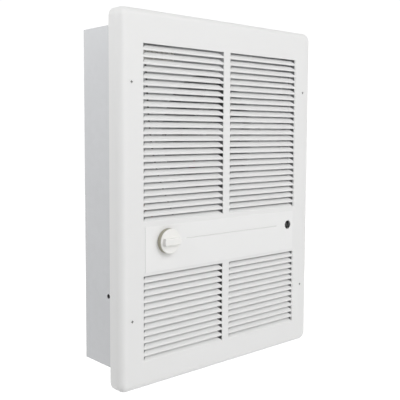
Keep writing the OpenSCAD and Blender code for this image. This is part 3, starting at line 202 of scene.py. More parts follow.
NEUTRAL_ROUTE = [
    (-152, 2, 222), (-155, 2, 222), (-160, 4, 219), (-161, 7, 212), (-160, 11, 206.7),
    (-160, 19, 206.7), (-163, 34, 196), (-170, 36, 150), (-174, 30, -60), (-174, 26, -198),
    (-173, 26, -206), (-170, 26, -210), (-166, 26, -211.5), (-163, 26, -211.5),
]
MOTOR_LEAD_ROUTE = [
    (16.5, 64, 50), (19.5, 64, 50), (26, 62, 47), (62, 54, 10), (86, 44, -34), (95, 32, -62),
    (96, 22, -70), (96, 8, -70), (88, 3, -70), (72, 3, -70.25), (69, 3, -70.25),
]
MOTOR_RETURN_ROUTE = [
    (-16.5, 64, 50), (-19.5, 64, 50), (-26, 62, 47), (-90, 52, 32), (-130, 44, 52),
    (-150, 38, 100), (-157, 32, 170), (-160, 19, 203.3), (-160, 11, 203.3), (-158, 5, 207),
    (-157, 3, 213), (-155, 2, 216), (-152, 2, 216),
]
CAPILLARY_ROUTE = [
    (-150, 7, 40), (-150, 7, 30), (-146, 6, 0), (-139, 4, -20), (-124, 2, -30),
    (-118, 2, -36), (-118, 2, -42.25),
]

# Studio. The camera's angles are in degrees, and a lamp is its name, place, size and power.
AMBIENT = 0.2
SHOWN_WHITE = 1.05
FLOOR_Z = -1.3
FLOOR_REACH = 12
CAMERA_PLACE = (-0.7519, -0.8002, 0.1019)
CAMERA_HEADING = -41.908
CAMERA_DOWN = 4.312
CAMERA_ROLL = 0.266
CAMERA_LENS = 60.387
CAMERA_SHIFT = -0.0429
LAMPS = (
    ("upper_front_lamp", (-0.1, -2.25, 1.7), 1.6, 23.2),
    ("lower_front_lamp", (0.1, -2.6, -0.3), 1.4, 7),
    ("upper_right_lamp", (0.9, -2.3, 2.2), 1.8, 14.9),
    ("right_lamp", (0.9, -2.3, 0.8), 1.8, 10.3),
    ("lower_right_lamp", (0.9, -2.3, -0.7), 1.6, 3.2),
    ("left_lamp", (-1.3, -0.3, 0.7), 0.6, 3.3),
    ("left_rear_lamp", (-2.0, 1.2, 1.2), 1.4, 26),
)


# ---------- Shaping ----------

def block(bm, low, high):
    """A block between two corners."""
    low, high = Vector(low), Vector(high)
    place = Matrix.Translation((low + high) / 2) @ Matrix.Diagonal((*(high - low), 1))
    bmesh.ops.create_cube(bm, size=1, matrix=place)


def lying_in(items, depth):
    """The faces or edges that lie in one plane square to Y."""
    return [i for i in items if all(abs(v.co.y - depth) < TINY for v in i.verts)]


def round_over(bm, items, width, steps, affect="EDGES", profile=ROUND_PROFILE):
    """Rounds edges or corners, or cuts them off straight."""
    bmesh.ops.bevel(bm, geom=items, offset=width, offset_type="OFFSET", affect=affect,
                    segments=steps, profile=profile, material=-1, clamp_overlap=True)


def slice_at(bm, faces, axis, at):
    """Cuts faces where they cross a plane square to an axis."""
    geom = {*faces, *(e for f in faces for e in f.edges), *(v for f in faces for v in f.verts)}
    bmesh.ops.bisect_plane(bm, geom=list(geom), dist=TINY, plane_co=axis * at, plane_no=axis)


def covering(bm, depth, x, z):
    """The flat faces at a depth whose outline surrounds a point."""
    found = []
    for face in lying_in(bm.faces, depth):
        xs = [v.co.x for v in face.verts]
        zs = [v.co.z for v in face.verts]
        if min(xs) < x < max(xs) and min(zs) < z < max(zs):
            found.append(face)
    return found


def cell_round(bm, depth, low, high):
    """Cuts a rectangle into a flat sheet and returns its face."""
    x = (low[0] + high[0]) / 2
    z = (low[1] + high[1]) / 2
    for axis, at in ((Z, low[1]), (Z, high[1]), (X, low[0]), (X, high[0])):
        slice_at(bm, covering(bm, depth, x, z), axis, at)
    return covering(bm, depth, x, z)[0]


def upright(x, y, z):
    """A place where a flat shape stands square to Y."""
    return Matrix.Translation((x, y, z)) @ Matrix.Rotation(math.radians(90), 4, "X")


def ring(bm, x, y, z, r, sides):
    """A bare circle of edges round a line along Y."""
    made = bmesh.ops.create_circle(bm, cap_ends=False, radius=r, segments=sides,
                                   matrix=upright(x, y, z))
    return list({e for v in made["verts"] for e in v.link_edges})


def facing_room(faces):
    """Turns faces so that they look out of the wall."""
    for face in faces:
        face.normal_update()
        if face.normal.y > 0:
            face.normal_flip()


def round_hole(bm, depth, x, z, r, margin=HOLE_MARGIN):
    """Cuts a round hole into a flat sheet and returns the edges of its rim."""
    half = r + margin
    cell = cell_round(bm, depth, (x - half, z - half), (x + half, z + half))
    outline = list(cell.edges)
    bmesh.ops.delete(bm, geom=[cell], context="FACES_ONLY")
    cut = bmesh.ops.subdivide_edges(bm, edges=outline, cuts=HOLE_SIDES // 4 - 1)
    outline = [e for e in cut["geom"] if isinstance(e, bmesh.types.BMEdge) and e.is_boundary]
    rim = ring(bm, x, depth, z, r, HOLE_SIDES)
    facing_room(bmesh.ops.bridge_loops(bm, edges=outline + rim)["faces"])
    return rim


def sunk_ring(bm, rim, x, y, z, r):
    """Carries a round hole's rim back to a smaller one that lies deeper."""
    neck = ring(bm, x, y, z, r, HOLE_SIDES)
    facing_room(bmesh.ops.bridge_loops(bm, edges=rim + neck)["faces"])


def drum(bm, x, z, front_y, back_y, front_r, back_r, sides):
    """A closed round body along Y, with its own radius at each end."""
    place = upright(x, (front_y + back_y) / 2, z)
    made = bmesh.ops.create_cone(bm, cap_ends=True, segments=sides, radius1=back_r,
                                 radius2=front_r, depth=back_y - front_y, matrix=place)
    return made["verts"]


# ---------- Finishing a piece ----------

def mesh_of(name, bm):
    """A mesh made from a shape. The shape itself is freed."""
    mesh = bpy.data.meshes.new(name)
    bm.to_mesh(mesh)
    bm.free()
    return mesh


def finished_mesh(obj):
    """An object's mesh after its modifiers, or after its curve's settings."""
    graph = bpy.context.evaluated_depsgraph_get()
    return bpy.data.meshes.new_from_object(obj.evaluated_get(graph))


def bake(obj):
    """Turns a piece's modifiers into plain mesh."""
    mesh = finished_mesh(obj)
    obj.modifiers.clear()
    obj.data = mesh


def thicken(obj, sheet):
    """Gives a surface its sheet's thickness, inwards, and takes the sharpness off its edges."""
    wall = obj.modifiers.new("sheet", "SOLIDIFY")
    wall.thickness = sheet
    wall.offset = -1
    wall.use_even_offset = True
    wall.use_quality_normals = True
    soft = obj.modifiers.new("edges", "BEVEL")
    soft.width = SHEET_EDGE
    soft.segments = 2
    soft.limit_method = "ANGLE"
    soft.angle_limit = EDGE_ANGLE
    bake(obj)
    # Faces that this leaves without an area are taken out.
    bm = bmesh.new()
    bm.from_mesh(obj.data)
    bmesh.ops.dissolve_degenerate(bm, dist=TINY, edges=bm.edges)
    bm.to_mesh(obj.data)
    bm.free()


def shade(obj):
    """Smooth shading over gentle angles, with flat faces kept flat."""
    for polygon in obj.data.polygons:
        polygon.use_smooth = True
    obj.data.set_sharp_from_angle(angle=SMOOTH_ANGLE)
    even = obj.modifiers.new("even", "WEIGHTED_NORMAL")
    even.keep_sharp = True
    bake(obj)


def placed(name, data):
    """A new object in the scene."""
    obj = bpy.data.objects.new(name, data)
    bpy.context.scene.collection.objects.link(obj)
    return obj


def handed_over(obj, body, slots, stands_for):
    """Shades a shape and makes it a piece: on its body, with its materials."""
    shade(obj)
    dress(obj, slots)
    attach(obj, body)
    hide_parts(stands_for)
    return obj


def piece(name, bm, body, slots, stands_for, sheet=0):
    """Makes a piece of a shape. A surface gets its sheet's thickness first."""
    obj = placed(name, mesh_of(name, bm))
    if sheet:
        thicken(obj, sheet)
    handed_over(obj, body, slots, stands_for)


def bent_wires(name, routes, r, slot, stands_for):
    """Round wires on the housing that follow their routes in smooth curves, all given in mm."""
    curve = bpy.data.curves.new(name, "CURVE")
    curve.dimensions = "3D"
    curve.bevel_depth = r * MM
    curve.bevel_resolution = 3
    curve.use_fill_caps = True
    for route in routes:
        line = curve.splines.new("NURBS")
        line.points.add(len(route) - 1)
        for point, place in zip(line.points, route):
            point.co = (*(Vector(place) * MM), 1)
        line.order_u = 3
        line.use_endpoint_u = True
        line.resolution_u = 6
    drawn = placed(name + "_line", curve)
    mesh = finished_mesh(drawn)
    bpy.data.objects.remove(drawn)
    return handed_over(placed(name, mesh), "housing", [slot], stands_for)


def dress(obj, slots):
    """Gives a piece the materials of its slots, the first one being its main finish."""
    if obj.data.materials:
        obj.data.materials.clear()
    for slot in slots:
        obj.data.materials.append(finishes[slot])


# ---------- Node trees ----------

def add(tree, kind, inputs=None, **settings):
    """A shader node with its settings. An input is a value, or a socket to take it from."""
    node = tree.nodes.new("ShaderNode" + kind)
    for key, value in settings.items():
        setattr(node, key, value)
    for key, value in (inputs or {}).items():
        if isinstance(value, bpy.types.NodeSocket):
            tree.links.new(value, node.inputs[key])
        else:
            node.inputs[key].default_value = value
    return node


def spread(tree, middle, mask, reach):
    """A value that swings round a middle as a mask goes from 0 to 1."""
    swing = add(tree, "Math", {0: mask, 1: 0.5}, operation="SUBTRACT").outputs[0]
    return add(tree, "Math", {0: swing, 1: reach, 2: middle}, operation="MULTIPLY_ADD").outputs[0]


def skin_group(name):
    """A new group for a surface effect. All effects have the same sockets."""
    tree = bpy.data.node_groups.new(name, "ShaderNodeTree")
    for label, kind in (("Colour", "NodeSocketColor"), ("Tone", "NodeSocketFloat"),
                        ("Roughness", "NodeSocketFloat"), ("Grain", "NodeSocketFloat")):
        tree.interface.new_socket(name=label, in_out="INPUT", socket_type=kind)
    for label, kind in (("Colour", "NodeSocketColor"), ("Roughness", "NodeSocketFloat"),
                        ("Height", "NodeSocketFloat")):
        tree.interface.new_socket(name=label, in_out="OUTPUT", socket_type=kind)
    given = tree.nodes.new("NodeGroupInput").outputs
    place = add(tree, "TexCoord").outputs["Object"]
    fineness = add(tree, "Math", {0: 1.0, 1: given["Grain"]}, operation="DIVIDE").outputs[0]
    return tree, given, place, fineness


def close_group(tree, given, tone_mask, rough_mask, height):
    """Joins an effect's masks to its outputs: tone on the colour, and a swing of roughness."""
    value = spread(tree, 1.0, tone_mask, given["Tone"])
    tinted = add(tree, "HueSaturation", {"Value": value, "Color": given["Colour"]})
    out = tree.nodes.new("NodeGroupOutput").inputs
    tree.links.new(tinted.outputs["Color"], out["Colour"])
    roughness = spread(tree, given["Roughness"], rough_mask, ROUGHNESS_SWING)
    tree.links.new(roughness, out["Roughness"])
    tree.links.new(height, out["Height"])
    return tree


def powder_coat_skin():
    """Orange peel of a powder coat, and a slow drift of its tone over the sheet."""
    tree, given, place, fineness = skin_group("powder_coat_skin")
    peel = add(tree, "TexNoise", {"Vector": place, "Scale": fineness, "Detail": 1.5})
    drift = add(tree, "TexNoise", {"Vector": place, "Scale": 9.0, "Detail": 3.0})
    return close_group(tree, given, drift.outputs["Fac"], drift.outputs["Fac"], peel.outputs["Fac"])


def spangle_skin():
    """Zinc crystals of a galvanised sheet, each with its own grey and gloss."""
    tree, given, place, fineness = skin_group("spangle_skin")
    wobble = add(tree, "TexNoise", {"Vector": place, "Scale": 60.0, "Detail": 2.0})
    bent = add(tree, "VectorMath", {0: wobble.outputs["Color"], "Scale": 0.006}, operation="SCALE")
    moved = add(tree, "VectorMath", {0: place, 1: bent.outputs[0]}, operation="ADD")
    crystals = add(tree, "TexVoronoi", {"Vector": moved.outputs[0], "Scale": fineness})
    grey = add(tree, "SeparateColor", {"Color": crystals.outputs["Color"]}).outputs["Red"]
    rolling = add(tree, "TexNoise", {"Vector": place, "Scale": 14.0, "Detail": 4.0})
    mixed = add(tree, "Math", {0: grey, 1: rolling.outputs["Fac"]}, operation="ADD").outputs[0]
    tone = add(tree, "Math", {0: mixed, 1: 0.5}, operation="MULTIPLY").outputs[0]
    return close_group(tree, given, tone, grey, grey)


def rolled_skin():
    """Fine lines that run along a rolled or drawn metal, and faint blotches."""
    tree, given, place, fineness = skin_group("rolled_skin")
    drawn = add(tree, "Mapping", {"Vector": place, "Scale": (0.04, 1.0, 1.0)})
    lines = add(tree, "TexNoise", {"Vector": drawn.outputs[0], "Scale": fineness, "Detail": 2.0})
    blotches = add(tree, "TexNoise", {"Vector": place, "Scale": 40.0, "Detail": 4.0})
    both = add(tree, "Math", {0: lines.outputs["Fac"], 1: blotches.outputs["Fac"]}, operation="ADD")
    tone = add(tree, "Math", {0: both.outputs[0], 1: 0.5}, operation="MULTIPLY").outputs[0]
    return close_group(tree, given, tone, blotches.outputs["Fac"], lines.outputs["Fac"])


def cast_skin():
    """The uneven skin of a casting, a sintered bush or a bare ceramic, with small pits."""
    tree, given, place, fineness = skin_group("cast_skin")
    lumps = add(tree, "TexNoise", {"Vector": place, "Scale": fineness, "Detail": 5.0})
    pits = add(tree, "TexVoronoi", {"Vector": place, "Scale": fineness}, feature="SMOOTH_F1")
    height = add(tree, "Math", {0: lumps.outputs["Fac"], 1: pits.outputs["Distance"]},
                 operation="MULTIPLY").outputs[0]
    return close_group(tree, given, lumps.outputs["Fac"], pits.outputs["Distance"], height)


def moulded_skin():
    """The fine eroded texture of a moulded plastic or rubber part."""
    tree, given, place, fineness = skin_group("moulded_skin")
    grain = add(tree, "TexNoise", {"Vector": place, "Scale": fineness, "Detail": 2.0})
    flow = add(tree, "TexNoise", {"Vector": place, "Scale": 55.0, "Detail": 2.0, "Distortion": 1.2})
    return close_group(tree, given, flow.outputs["Fac"], grain.outputs["Fac"], grain.outputs["Fac"])


def layered_skin(name, turn):
    """Layers that are stacked or wound along an axis, seen from their edges."""
    tree, given, place, fineness = skin_group(name)
    turned = add(tree, "Mapping", {"Vector": place, "Rotation": turn})
    layers = add(tree, "TexWave", {"Vector": turned.outputs[0], "Scale": fineness,
                                   "Distortion": 0.6, "Detail": 1.0},
                 wave_type="BANDS", bands_direction="X")
    stain = add(tree, "TexNoise", {"Vector": place, "Scale": 120.0, "Detail": 4.0})
    tone = add(tree, "Math", {0: layers.outputs["Fac"], 1: stain.outputs["Fac"]},
               operation="MULTIPLY").outputs[0]
    return close_group(tree, given, tone, stain.outputs["Fac"], layers.outputs["Fac"])


def finish(name, skin, colour, tone, roughness, grain, relief, metallic=0.0, coat=0.0):
    """A material: a colour and roughness that an effect varies, with that effect's relief."""
    material = bpy.data.materials.new(name)
    material.use_nodes = True
    tree = material.node_tree
    shader = tree.nodes["Principled BSDF"]
    worked = add(tree, "Group", node_tree=skin)
    worked.inputs["Colour"].default_value = (*colour, 1)
    worked.inputs["Tone"].default_value = tone
    worked.inputs["Roughness"].default_value = roughness
    worked.inputs["Grain"].default_value = grain
    bump = add(tree, "Bump", {"Height": worked.outputs["Height"], "Distance": relief})
    tree.links.new(worked.outputs["Colour"], shader.inputs["Base Color"])
    tree.links.new(worked.outputs["Roughness"], shader.inputs["Roughness"])
    tree.links.new(bump.outputs["Normal"], shader.inputs["Normal"])
    shader.inputs["Metallic"].default_value = metallic
    shader.inputs["Coat Weight"].default_value = coat
    return material


# ---------- Finishes ----------

powder = powder_coat_skin()
spangle = spangle_skin()
rolled = rolled_skin()
cast = cast_skin()
moulded = moulded_skin()
stacked = layered_skin("stacked_skin", (0, 0, math.radians(90)))
wound = layered_skin("wound_skin", (0, 0, 0))


def white_enamel():
    """Powder coat of the cover, with a faint orange peel."""
    return finish(
        "white_enamel", powder, (0.845, 0.845, 0.84),
        tone=0.02, roughness=0.42, grain=1.4 * MM, relief=0.02 * MM)


def strip_white():
    """Smoother, slightly lighter enamel of the control strip."""
    return finish(
        "strip_white", powder, (0.885, 0.885, 0.88),
        tone=0.015, roughness=0.36, grain=2 * MM, relief=0.01 * MM)


def score_shade():
    """Enamel down in the strip's score line."""
    return finish(
        "score_shade", powder, (0.72, 0.72, 0.71),
        tone=0.02, roughness=0.5, grain=2 * MM, relief=0.01 * MM)


def galvanised_steel():
    """Hot-dip galvanised sheet, dull, with spangles of about 11 mm."""
    return finish(
        "galvanised_steel", spangle, (0.592, 0.6, 0.613),
        tone=0.1, roughness=0.6, grain=11 * MM, relief=0.03 * MM, metallic=0.3)


def zinc_plate():
    """Bright zinc plating of screws and clips."""
    return finish(
        "zinc_plate", rolled, (0.62, 0.62, 0.63),
        tone=0.2, roughness=0.36, grain=0.6 * MM, relief=0.01 * MM, metallic=0.9)


def screw_recess_painted_shade():
    """Near-black, half-metallic painted shade down in the screws' cross recesses."""
    return finish(
        "screw_recess_painted_shade", rolled, (0.09, 0.09, 0.09),
        tone=0.3, roughness=0.6, grain=0.6 * MM, relief=0.01 * MM, metallic=0.5)


def bare_steel():
    """Ground steel of shafts, pins and the spring."""
    return finish(
        "bare_steel", rolled, (0.45, 0.45, 0.46),
        tone=0.2, roughness=0.3, grain=0.4 * MM, relief=0.01 * MM, metallic=1)


def lamination_steel():
    """Stacked laminations, seen from their edges."""
    return finish(
        "lamination_steel", stacked, (0.16, 0.165, 0.175),
        tone=0.5, roughness=0.5, grain=6.3 * MM, relief=0.08 * MM, metallic=0.8)


def die_cast():
    """Zinc and aluminium castings."""
    return finish(
        "die_cast", cast, (0.5, 0.51, 0.52),
        tone=0.18, roughness=0.5, grain=2 * MM, relief=0.06 * MM, metallic=0.9)


def fan_aluminium():
    """Mill finish of the fan's sheet, dulled by its roughness, with its colour painted darker than
    aluminium as painted shade inside the housing.
    """
    return finish(
        "fan_aluminium", rolled, (0.27, 0.275, 0.28),
        tone=0.15, roughness=0.5, grain=0.8 * MM, relief=0.01 * MM, metallic=0.9)


def fin_steel():
    """Matt sheet of the element's fins."""
    return finish(
        "fin_steel", rolled, (0.42, 0.42, 0.42),
        tone=0.3, roughness=0.5, grain=0.8 * MM, relief=0.02 * MM, metallic=0.9)


def sheath():
    """Oxidised sheath of the heating tube."""
    return finish(
        "sheath", cast, (0.09, 0.085, 0.08),
        tone=0.5, roughness=0.55, grain=3 * MM, relief=0.02 * MM, metallic=0.7)


def bronze():
    """Sintered bronze of the bearings."""
    return finish(
        "bronze", cast, (0.4, 0.24, 0.1),
        tone=0.3, roughness=0.45, grain=0.6 * MM, relief=0.02 * MM, metallic=0.9)


def copper():
    """Drawn copper of bulb, capillary and shading rings."""
    return finish(
        "copper", rolled, (0.4, 0.17, 0.09),
        tone=0.3, roughness=0.35, grain=0.6 * MM, relief=0.01 * MM, metallic=1)


def winding():
    """Turns of enamelled wire under a coat of varnish."""
    return finish(
        "winding", wound, (0.2, 0.03, 0.015),
        tone=0.5, roughness=0.4, grain=6.3 * MM, relief=0.1 * MM, coat=0.4)


def white_ceramic():
    """Bare ceramic of the element's seals."""
    return finish(
        "white_ceramic", cast, (0.78, 0.76, 0.71),
        tone=0.08, roughness=0.6, grain=1 * MM, relief=0.03 * MM)


def bobbin_nylon():
    """Natural nylon of the coil's bobbin."""
    return finish(
        "bobbin_nylon", moulded, (0.72, 0.68, 0.56),
        tone=0.08, roughness=0.48, grain=0.5 * MM, relief=0.01 * MM)


def block_nylon():
    """Pale nylon of the terminal block."""
    return finish(
        "block_nylon", moulded, (0.92, 0.91, 0.87),
        tone=0.06, roughness=0.45, grain=0.5 * MM, relief=0.01 * MM)


def knob_plastic():
    """Cream, glossy moulding of the knob."""
    return finish(
        "knob_plastic", moulded, (0.905, 0.9, 0.875),
        tone=0.03, roughness=0.34, grain=0.6 * MM, relief=0.006 * MM)


def knob_side_painted_shade():
    """Olive grey painted shade on the rear of the knob's side."""
    return finish(
        "knob_side_painted_shade", moulded, (0.38, 0.365, 0.29),
        tone=0.1, roughness=0.5, grain=0.6 * MM, relief=0.01 * MM)


def knob_end_painted_shade():
    """Greyer painted shade on the left-facing end of the knob's grip."""
    return finish(
        "knob_end_painted_shade", moulded, (0.74, 0.725, 0.71),
        tone=0.03, roughness=0.4, grain=0.6 * MM, relief=0.006 * MM)


def black_plastic():
    """Black moulding of the reset button and its guide."""
    return finish(
        "black_plastic", moulded, (0.012, 0.012, 0.012),
        tone=0.4, roughness=0.42, grain=0.4 * MM, relief=0.01 * MM)


def brown_phenolic():
    """Brown phenolic of the two switches."""
    return finish(
        "brown_phenolic", moulded, (0.035, 0.015, 0.008),
        tone=0.6, roughness=0.35, grain=0.6 * MM, relief=0.01 * MM)


def grey_plastic():
    """Dark grey moulding of the thermostat."""
    return finish(
        "grey_plastic", moulded, (0.026, 0.026, 0.028),
        tone=0.4, roughness=0.45, grain=0.5 * MM, relief=0.01 * MM)


def green_screw():
    """Green dye on the earth screw's zinc."""
    return finish(
        "green_screw", rolled, (0.01, 0.11, 0.025),
        tone=0.3, roughness=0.35, grain=0.6 * MM, relief=0.01 * MM, metallic=0.7)


def grommet_rubber():
    """Matt black rubber."""
    return finish(
        "grommet_rubber", moulded, (0.014, 0.014, 0.014),
        tone=0.4, roughness=0.7, grain=0.6 * MM, relief=0.02 * MM)


def wire_black():
    """Black insulation."""
    return finish(
        "wire_black", moulded, (0.04, 0.04, 0.042),
        tone=0.3, roughness=0.35, grain=0.8 * MM, relief=0.01 * MM)


def wire_white():
    """White insulation."""
    return finish(
        "wire_white", moulded, (0.72, 0.72, 0.7),
        tone=0.06, roughness=0.35, grain=0.8 * MM, relief=0.01 * MM)


def wire_red():
    """Red insulation."""
    return finish(
        "wire_red", moulded, (0.3, 0.012, 0.01),
        tone=0.2, roughness=0.35, grain=0.8 * MM, relief=0.01 * MM)


def wire_blue():
    """Blue insulation."""
    return finish(
        "wire_blue", moulded, (0.008, 0.02, 0.22),
        tone=0.2, roughness=0.35, grain=0.8 * MM, relief=0.01 * MM)


def all_finishes():
    """Every finish by its name. All but four are the record's slots."""
    makers = (
        white_enamel, strip_white, score_shade, galvanised_steel, zinc_plate, screw_recess_painted_shade,
        bare_steel, lamination_steel, die_cast, fan_aluminium, fin_steel, sheath, bronze, copper,
        winding, white_ceramic, bobbin_nylon, block_nylon, knob_plastic, knob_side_painted_shade, knob_end_painted_shade,
        black_plastic, brown_phenolic, grey_plastic, green_screw, grommet_rubber, wire_black,
        wire_white, wire_red, wire_blue,
    )
    return {make.__name__: make() for make in makers}


# ---------- Front ----------

def pressed_pan(bm):
    """The cover's pan: a box without a back, with its corners and its front edge rounded."""
    block(bm, (-COVER_W / 2, FACE_Y, -COVER_H / 2), (COVER_W / 2, 0, COVER_H / 2))
    bmesh.ops.delete(bm, geom=lying_in(bm.faces, 0), context="FACES_ONLY")
    corners = [e for e in bm.edges if abs(e.verts[0].co.y - e.verts[1].co.y) > TINY]
    round_over(bm, corners, CORNER_R, PAN_STEPS)
    round_over(bm, lying_in(bm.edges, FACE_Y), EDGE_R, PAN_STEPS)


def louvre_windows(bm):
    """Cuts the four windows that hold the louvres."""
    for x, top_z, louvres in FIELDS:
        bottom_z = top_z - louvres * LOUVRE_PITCH
        cell = cell_round(bm, FACE_Y, (x, bottom_z), (x + COLUMN_W, top_z))
        bmesh.ops.delete(bm, geom=[cell], context="FACES_ONLY")


def louvre_line(bm, curled):
    """A louvre's section: a curl inwards, if it has one, the lip, a bend, and the leaning leaf."""
    rise = LOUVRE_CURL_R * math.sin(LOUVRE_CURL)
    start = bmesh.ops.create_vert(bm, co=(0, 0, rise if curled else 0))["vert"]
    if curled:
        bmesh.ops.spin(bm, geom=start, cent=(0, LOUVRE_CURL_R, rise), axis=X, angle=LOUVRE_CURL,
                       steps=LOUVRE_STEPS, use_duplicate=False)
    lip = bmesh.ops.extrude_vert_indiv(bm, verts=start)["verts"]
    lip[0].co.z = rise + LOUVRE_LIP
    bend = bmesh.ops.spin(bm, geom=lip, cent=(0, LOUVRE_BEND_R, rise + LOUVRE_LIP), axis=-X,
                          angle=LOUVRE_TILT, steps=LOUVRE_STEPS, use_duplicate=False)
    last = [v for v in bend["geom_last"] if isinstance(v, bmesh.types.BMVert)]
    leaf = bmesh.ops.extrude_vert_indiv(bm, verts=last)["verts"]
    reach = Vector((0, math.sin(LOUVRE_TILT), math.cos(LOUVRE_TILT))) * LOUVRE_LEAF
    bmesh.ops.translate(bm, vec=reach, verts=leaf)
    return leaf[0]


def louvre(bm, curled):
    """A louvre as wide as its column, with the leaf's corners cut off."""
    before = set(bm.faces)
    leaf_end = louvre_line(bm, curled)
    swept = bmesh.ops.extrude_edge_only(bm, edges=[e for e in bm.edges if e.is_wire])["geom"]
    far = [v for v in swept if isinstance(v, bmesh.types.BMVert)]
    bmesh.ops.translate(bm, vec=(COLUMN_W, 0, 0), verts=far)
    far_end = max(far, key=lambda v: v.co.y)
    round_over(bm, [leaf_end, far_end], LOUVRE_CORNER, LOUVRE_STEPS, affect="VERTICES",
               profile=STRAIGHT_PROFILE)
    faces = [f for f in bm.faces if f not in before]
    facing_room(faces)
    return faces


def add_louvres(bm):
    """Repeats the louvre over the four windows. A field's last one grows out of the cover."""
    free = louvre(bm, curled=True)
    joined = louvre(bm, curled=False)
    for x, top_z, louvres in FIELDS:
        for i in range(1, louvres + 1):
            pattern = joined if i == louvres else free
            copy = bmesh.ops.duplicate(bm, geom=pattern)["geom"]
            verts = [v for v in copy if isinstance(v, bmesh.types.BMVert)]
            bmesh.ops.translate(bm, vec=(x, FACE_Y, top_z - i * LOUVRE_PITCH), verts=verts)
    bmesh.ops.delete(bm, geom=free + joined, context="FACES")


def front_cover():
    """Pan-shaped sheet steel cover with pressed louvres and dimpled screw holes."""
    bm = bmesh.new()
    pressed_pan(bm)
    louvre_windows(bm)
    cell_round(bm, FACE_Y, (-STRIP_HALF_W, STRIP_BOTTOM_Z), (STRIP_HALF_W, STRIP_TOP_Z))
    round_hole(bm, FACE_Y, KNOB_X, CONTROLS_Z, KNOB_HOLE_R)
    round_hole(bm, FACE_Y, RESET_X, CONTROLS_Z, RESET_HOLE_R)
    for x, z in SCREW_PLACES:
        rim = round_hole(bm, FACE_Y, x, z, DIMPLE_R, DIMPLE_MARGIN)
        sunk_ring(bm, rim, x, FACE_Y + COVER_SHEET, z, DIMPLE_NECK_R)
    add_louvres(bm)
    bmesh.ops.remove_doubles(bm, verts=bm.verts, dist=TINY)
    piece("pressed_cover", bm, "housing", ["white_enamel"], "front_cover", sheet=COVER_SHEET)


def control_strip():
    """Smooth plate between the louvres, with a shallow score line and two holes."""
    bm = bmesh.new()
    place = (upright(0, STRIP_FRONT_Y, (STRIP_BOTTOM_Z + STRIP_TOP_Z) / 2)
             @ Matrix.Diagonal((2 * STRIP_HALF_W, STRIP_TOP_Z - STRIP_BOTTOM_Z, 1, 1)))
    bmesh.ops.create_grid(bm, x_segments=1, y_segments=1, size=0.5, matrix=place)
    round_over(bm, bm.verts[:], STRIP_CORNER_R, steps=4, affect="VERTICES")
    facing_room(bm.faces)
    round_hole(bm, STRIP_FRONT_Y, KNOB_X, CONTROLS_Z, KNOB_HOLE_R)
    round_hole(bm, STRIP_FRONT_Y, RESET_X, CONTROLS_Z, RESET_HOLE_R)
    score = cell_round(bm, STRIP_FRONT_Y, (SCORE_LEFT_X, CONTROLS_Z - SCORE_W / 2),
                       (SCORE_RIGHT_X, CONTROLS_Z + SCORE_W / 2))
    bmesh.ops.inset_region(bm, faces=[score], thickness=SCORE_SLOPE, depth=-SCORE_DEPTH)
    score.material_index = SECOND_MATERIAL
    piece("control_plate", bm, "housing", ["strip_white", "score_shade"], "control_strip",
          sheet=STRIP_SHEET)


def inner_faces(bm, centre):
    """The faces on a screw head's front that lie within the recess's reach."""
    return [f for f in lying_in(bm.faces, FACE_Y)
            if all((v.co - centre).length < RECESS_R + TINY for v in f.verts)]


def in_cross(face, centre):
    """Whether a face lies on one of the cross's two bars."""
    off = face.calc_center_median() - centre
    return min(abs(off.x), abs(off.z)) < RECESS_W / 2


def cross_recess(bm, front, x, z):
    """Sinks a cross into a screw head's front face."""
    bmesh.ops.inset_individual(bm, faces=[front], thickness=SCREW_HEAD_R - RECESS_R)
    centre = Vector((x, FACE_Y, z))
    for axis, middle in ((X, x), (Z, z)):
        for side in (-1, 1):
            slice_at(bm, inner_faces(bm, centre), axis, middle + side * RECESS_W / 2)
    cross = [f for f in inner_faces(bm, centre) if in_cross(f, centre)]
    sunk = bmesh.ops.extrude_face_region(bm, geom=cross)["geom"]
    bmesh.ops.delete(bm, geom=cross, context="FACES_ONLY")
    floor = [v for v in sunk if isinstance(v, bmesh.types.BMVert)]
    bmesh.ops.translate(bm, vec=(0, RECESS_DEPTH, 0), verts=floor)
    # The cross's floor and walls get the dark finish: painted shade.
    for face in {f for v in floor for f in v.link_faces}:
        face.material_index = SECOND_MATERIAL


def cover_screws():
    """Four countersunk screws, painted with the cover, with cross recesses painted dark as painted
    shade.
    """
    bm = bmesh.new()
    neck_y = FACE_Y + SCREW_HEAD_H
    for x, z in SCREW_PLACES:
        head = drum(bm, x, z, FACE_Y, neck_y, SCREW_HEAD_R, SCREW_R, SCREW_SIDES)
        front = lying_in({f for v in head for f in v.link_faces}, FACE_Y)[0]
        cross_recess(bm, front, x, z)
        shank = drum(bm, x, z, neck_y, SCREW_BACK_Y, SCREW_R, SCREW_R, SCREW_SIDES)
        tip = lying_in({e for v in shank for e in v.link_edges}, SCREW_BACK_Y)
        round_over(bm, tip, SCREW_TIP_R, steps=2)
    # Head and shank become one body at the neck.
    bmesh.ops.delete(bm, geom=lying_in(bm.faces, neck_y), context="FACES_ONLY")
    bmesh.ops.remove_doubles(bm, verts=bm.verts, dist=TINY)
    piece("painted_cover_screws", bm, "housing", ["white_enamel", "screw_recess_painted_shade"], "cover_screws")


def knob_disc(bm):
    """The knob's round body, slightly narrower at its front, with the rear of its side painted
    darker as painted shade.
    """
    front_r = KNOB_R - KNOB_TAPER
    drum(bm, KNOB_X, CONTROLS_Z, KNOB_DISC_Y, KNOB_BACK_Y, front_r, KNOB_R, KNOB_SIDES)
    slice_at(bm, bm.faces[:], Y, KNOB_SHADE_FRONT_Y)
    # The rear band of the side gets the olive grey finish: painted shade.
    for face in bm.faces:
        if KNOB_SHADE_FRONT_Y < face.calc_center_median().y < KNOB_BACK_Y - TINY:
            face.material_index = SECOND_MATERIAL
    round_over(bm, lying_in(bm.edges, KNOB_DISC_Y), KNOB_EDGE_R, steps=6)
    round_over(bm, lying_in(bm.edges, KNOB_BACK_Y), KNOB_BACK_EDGE_R, steps=2)


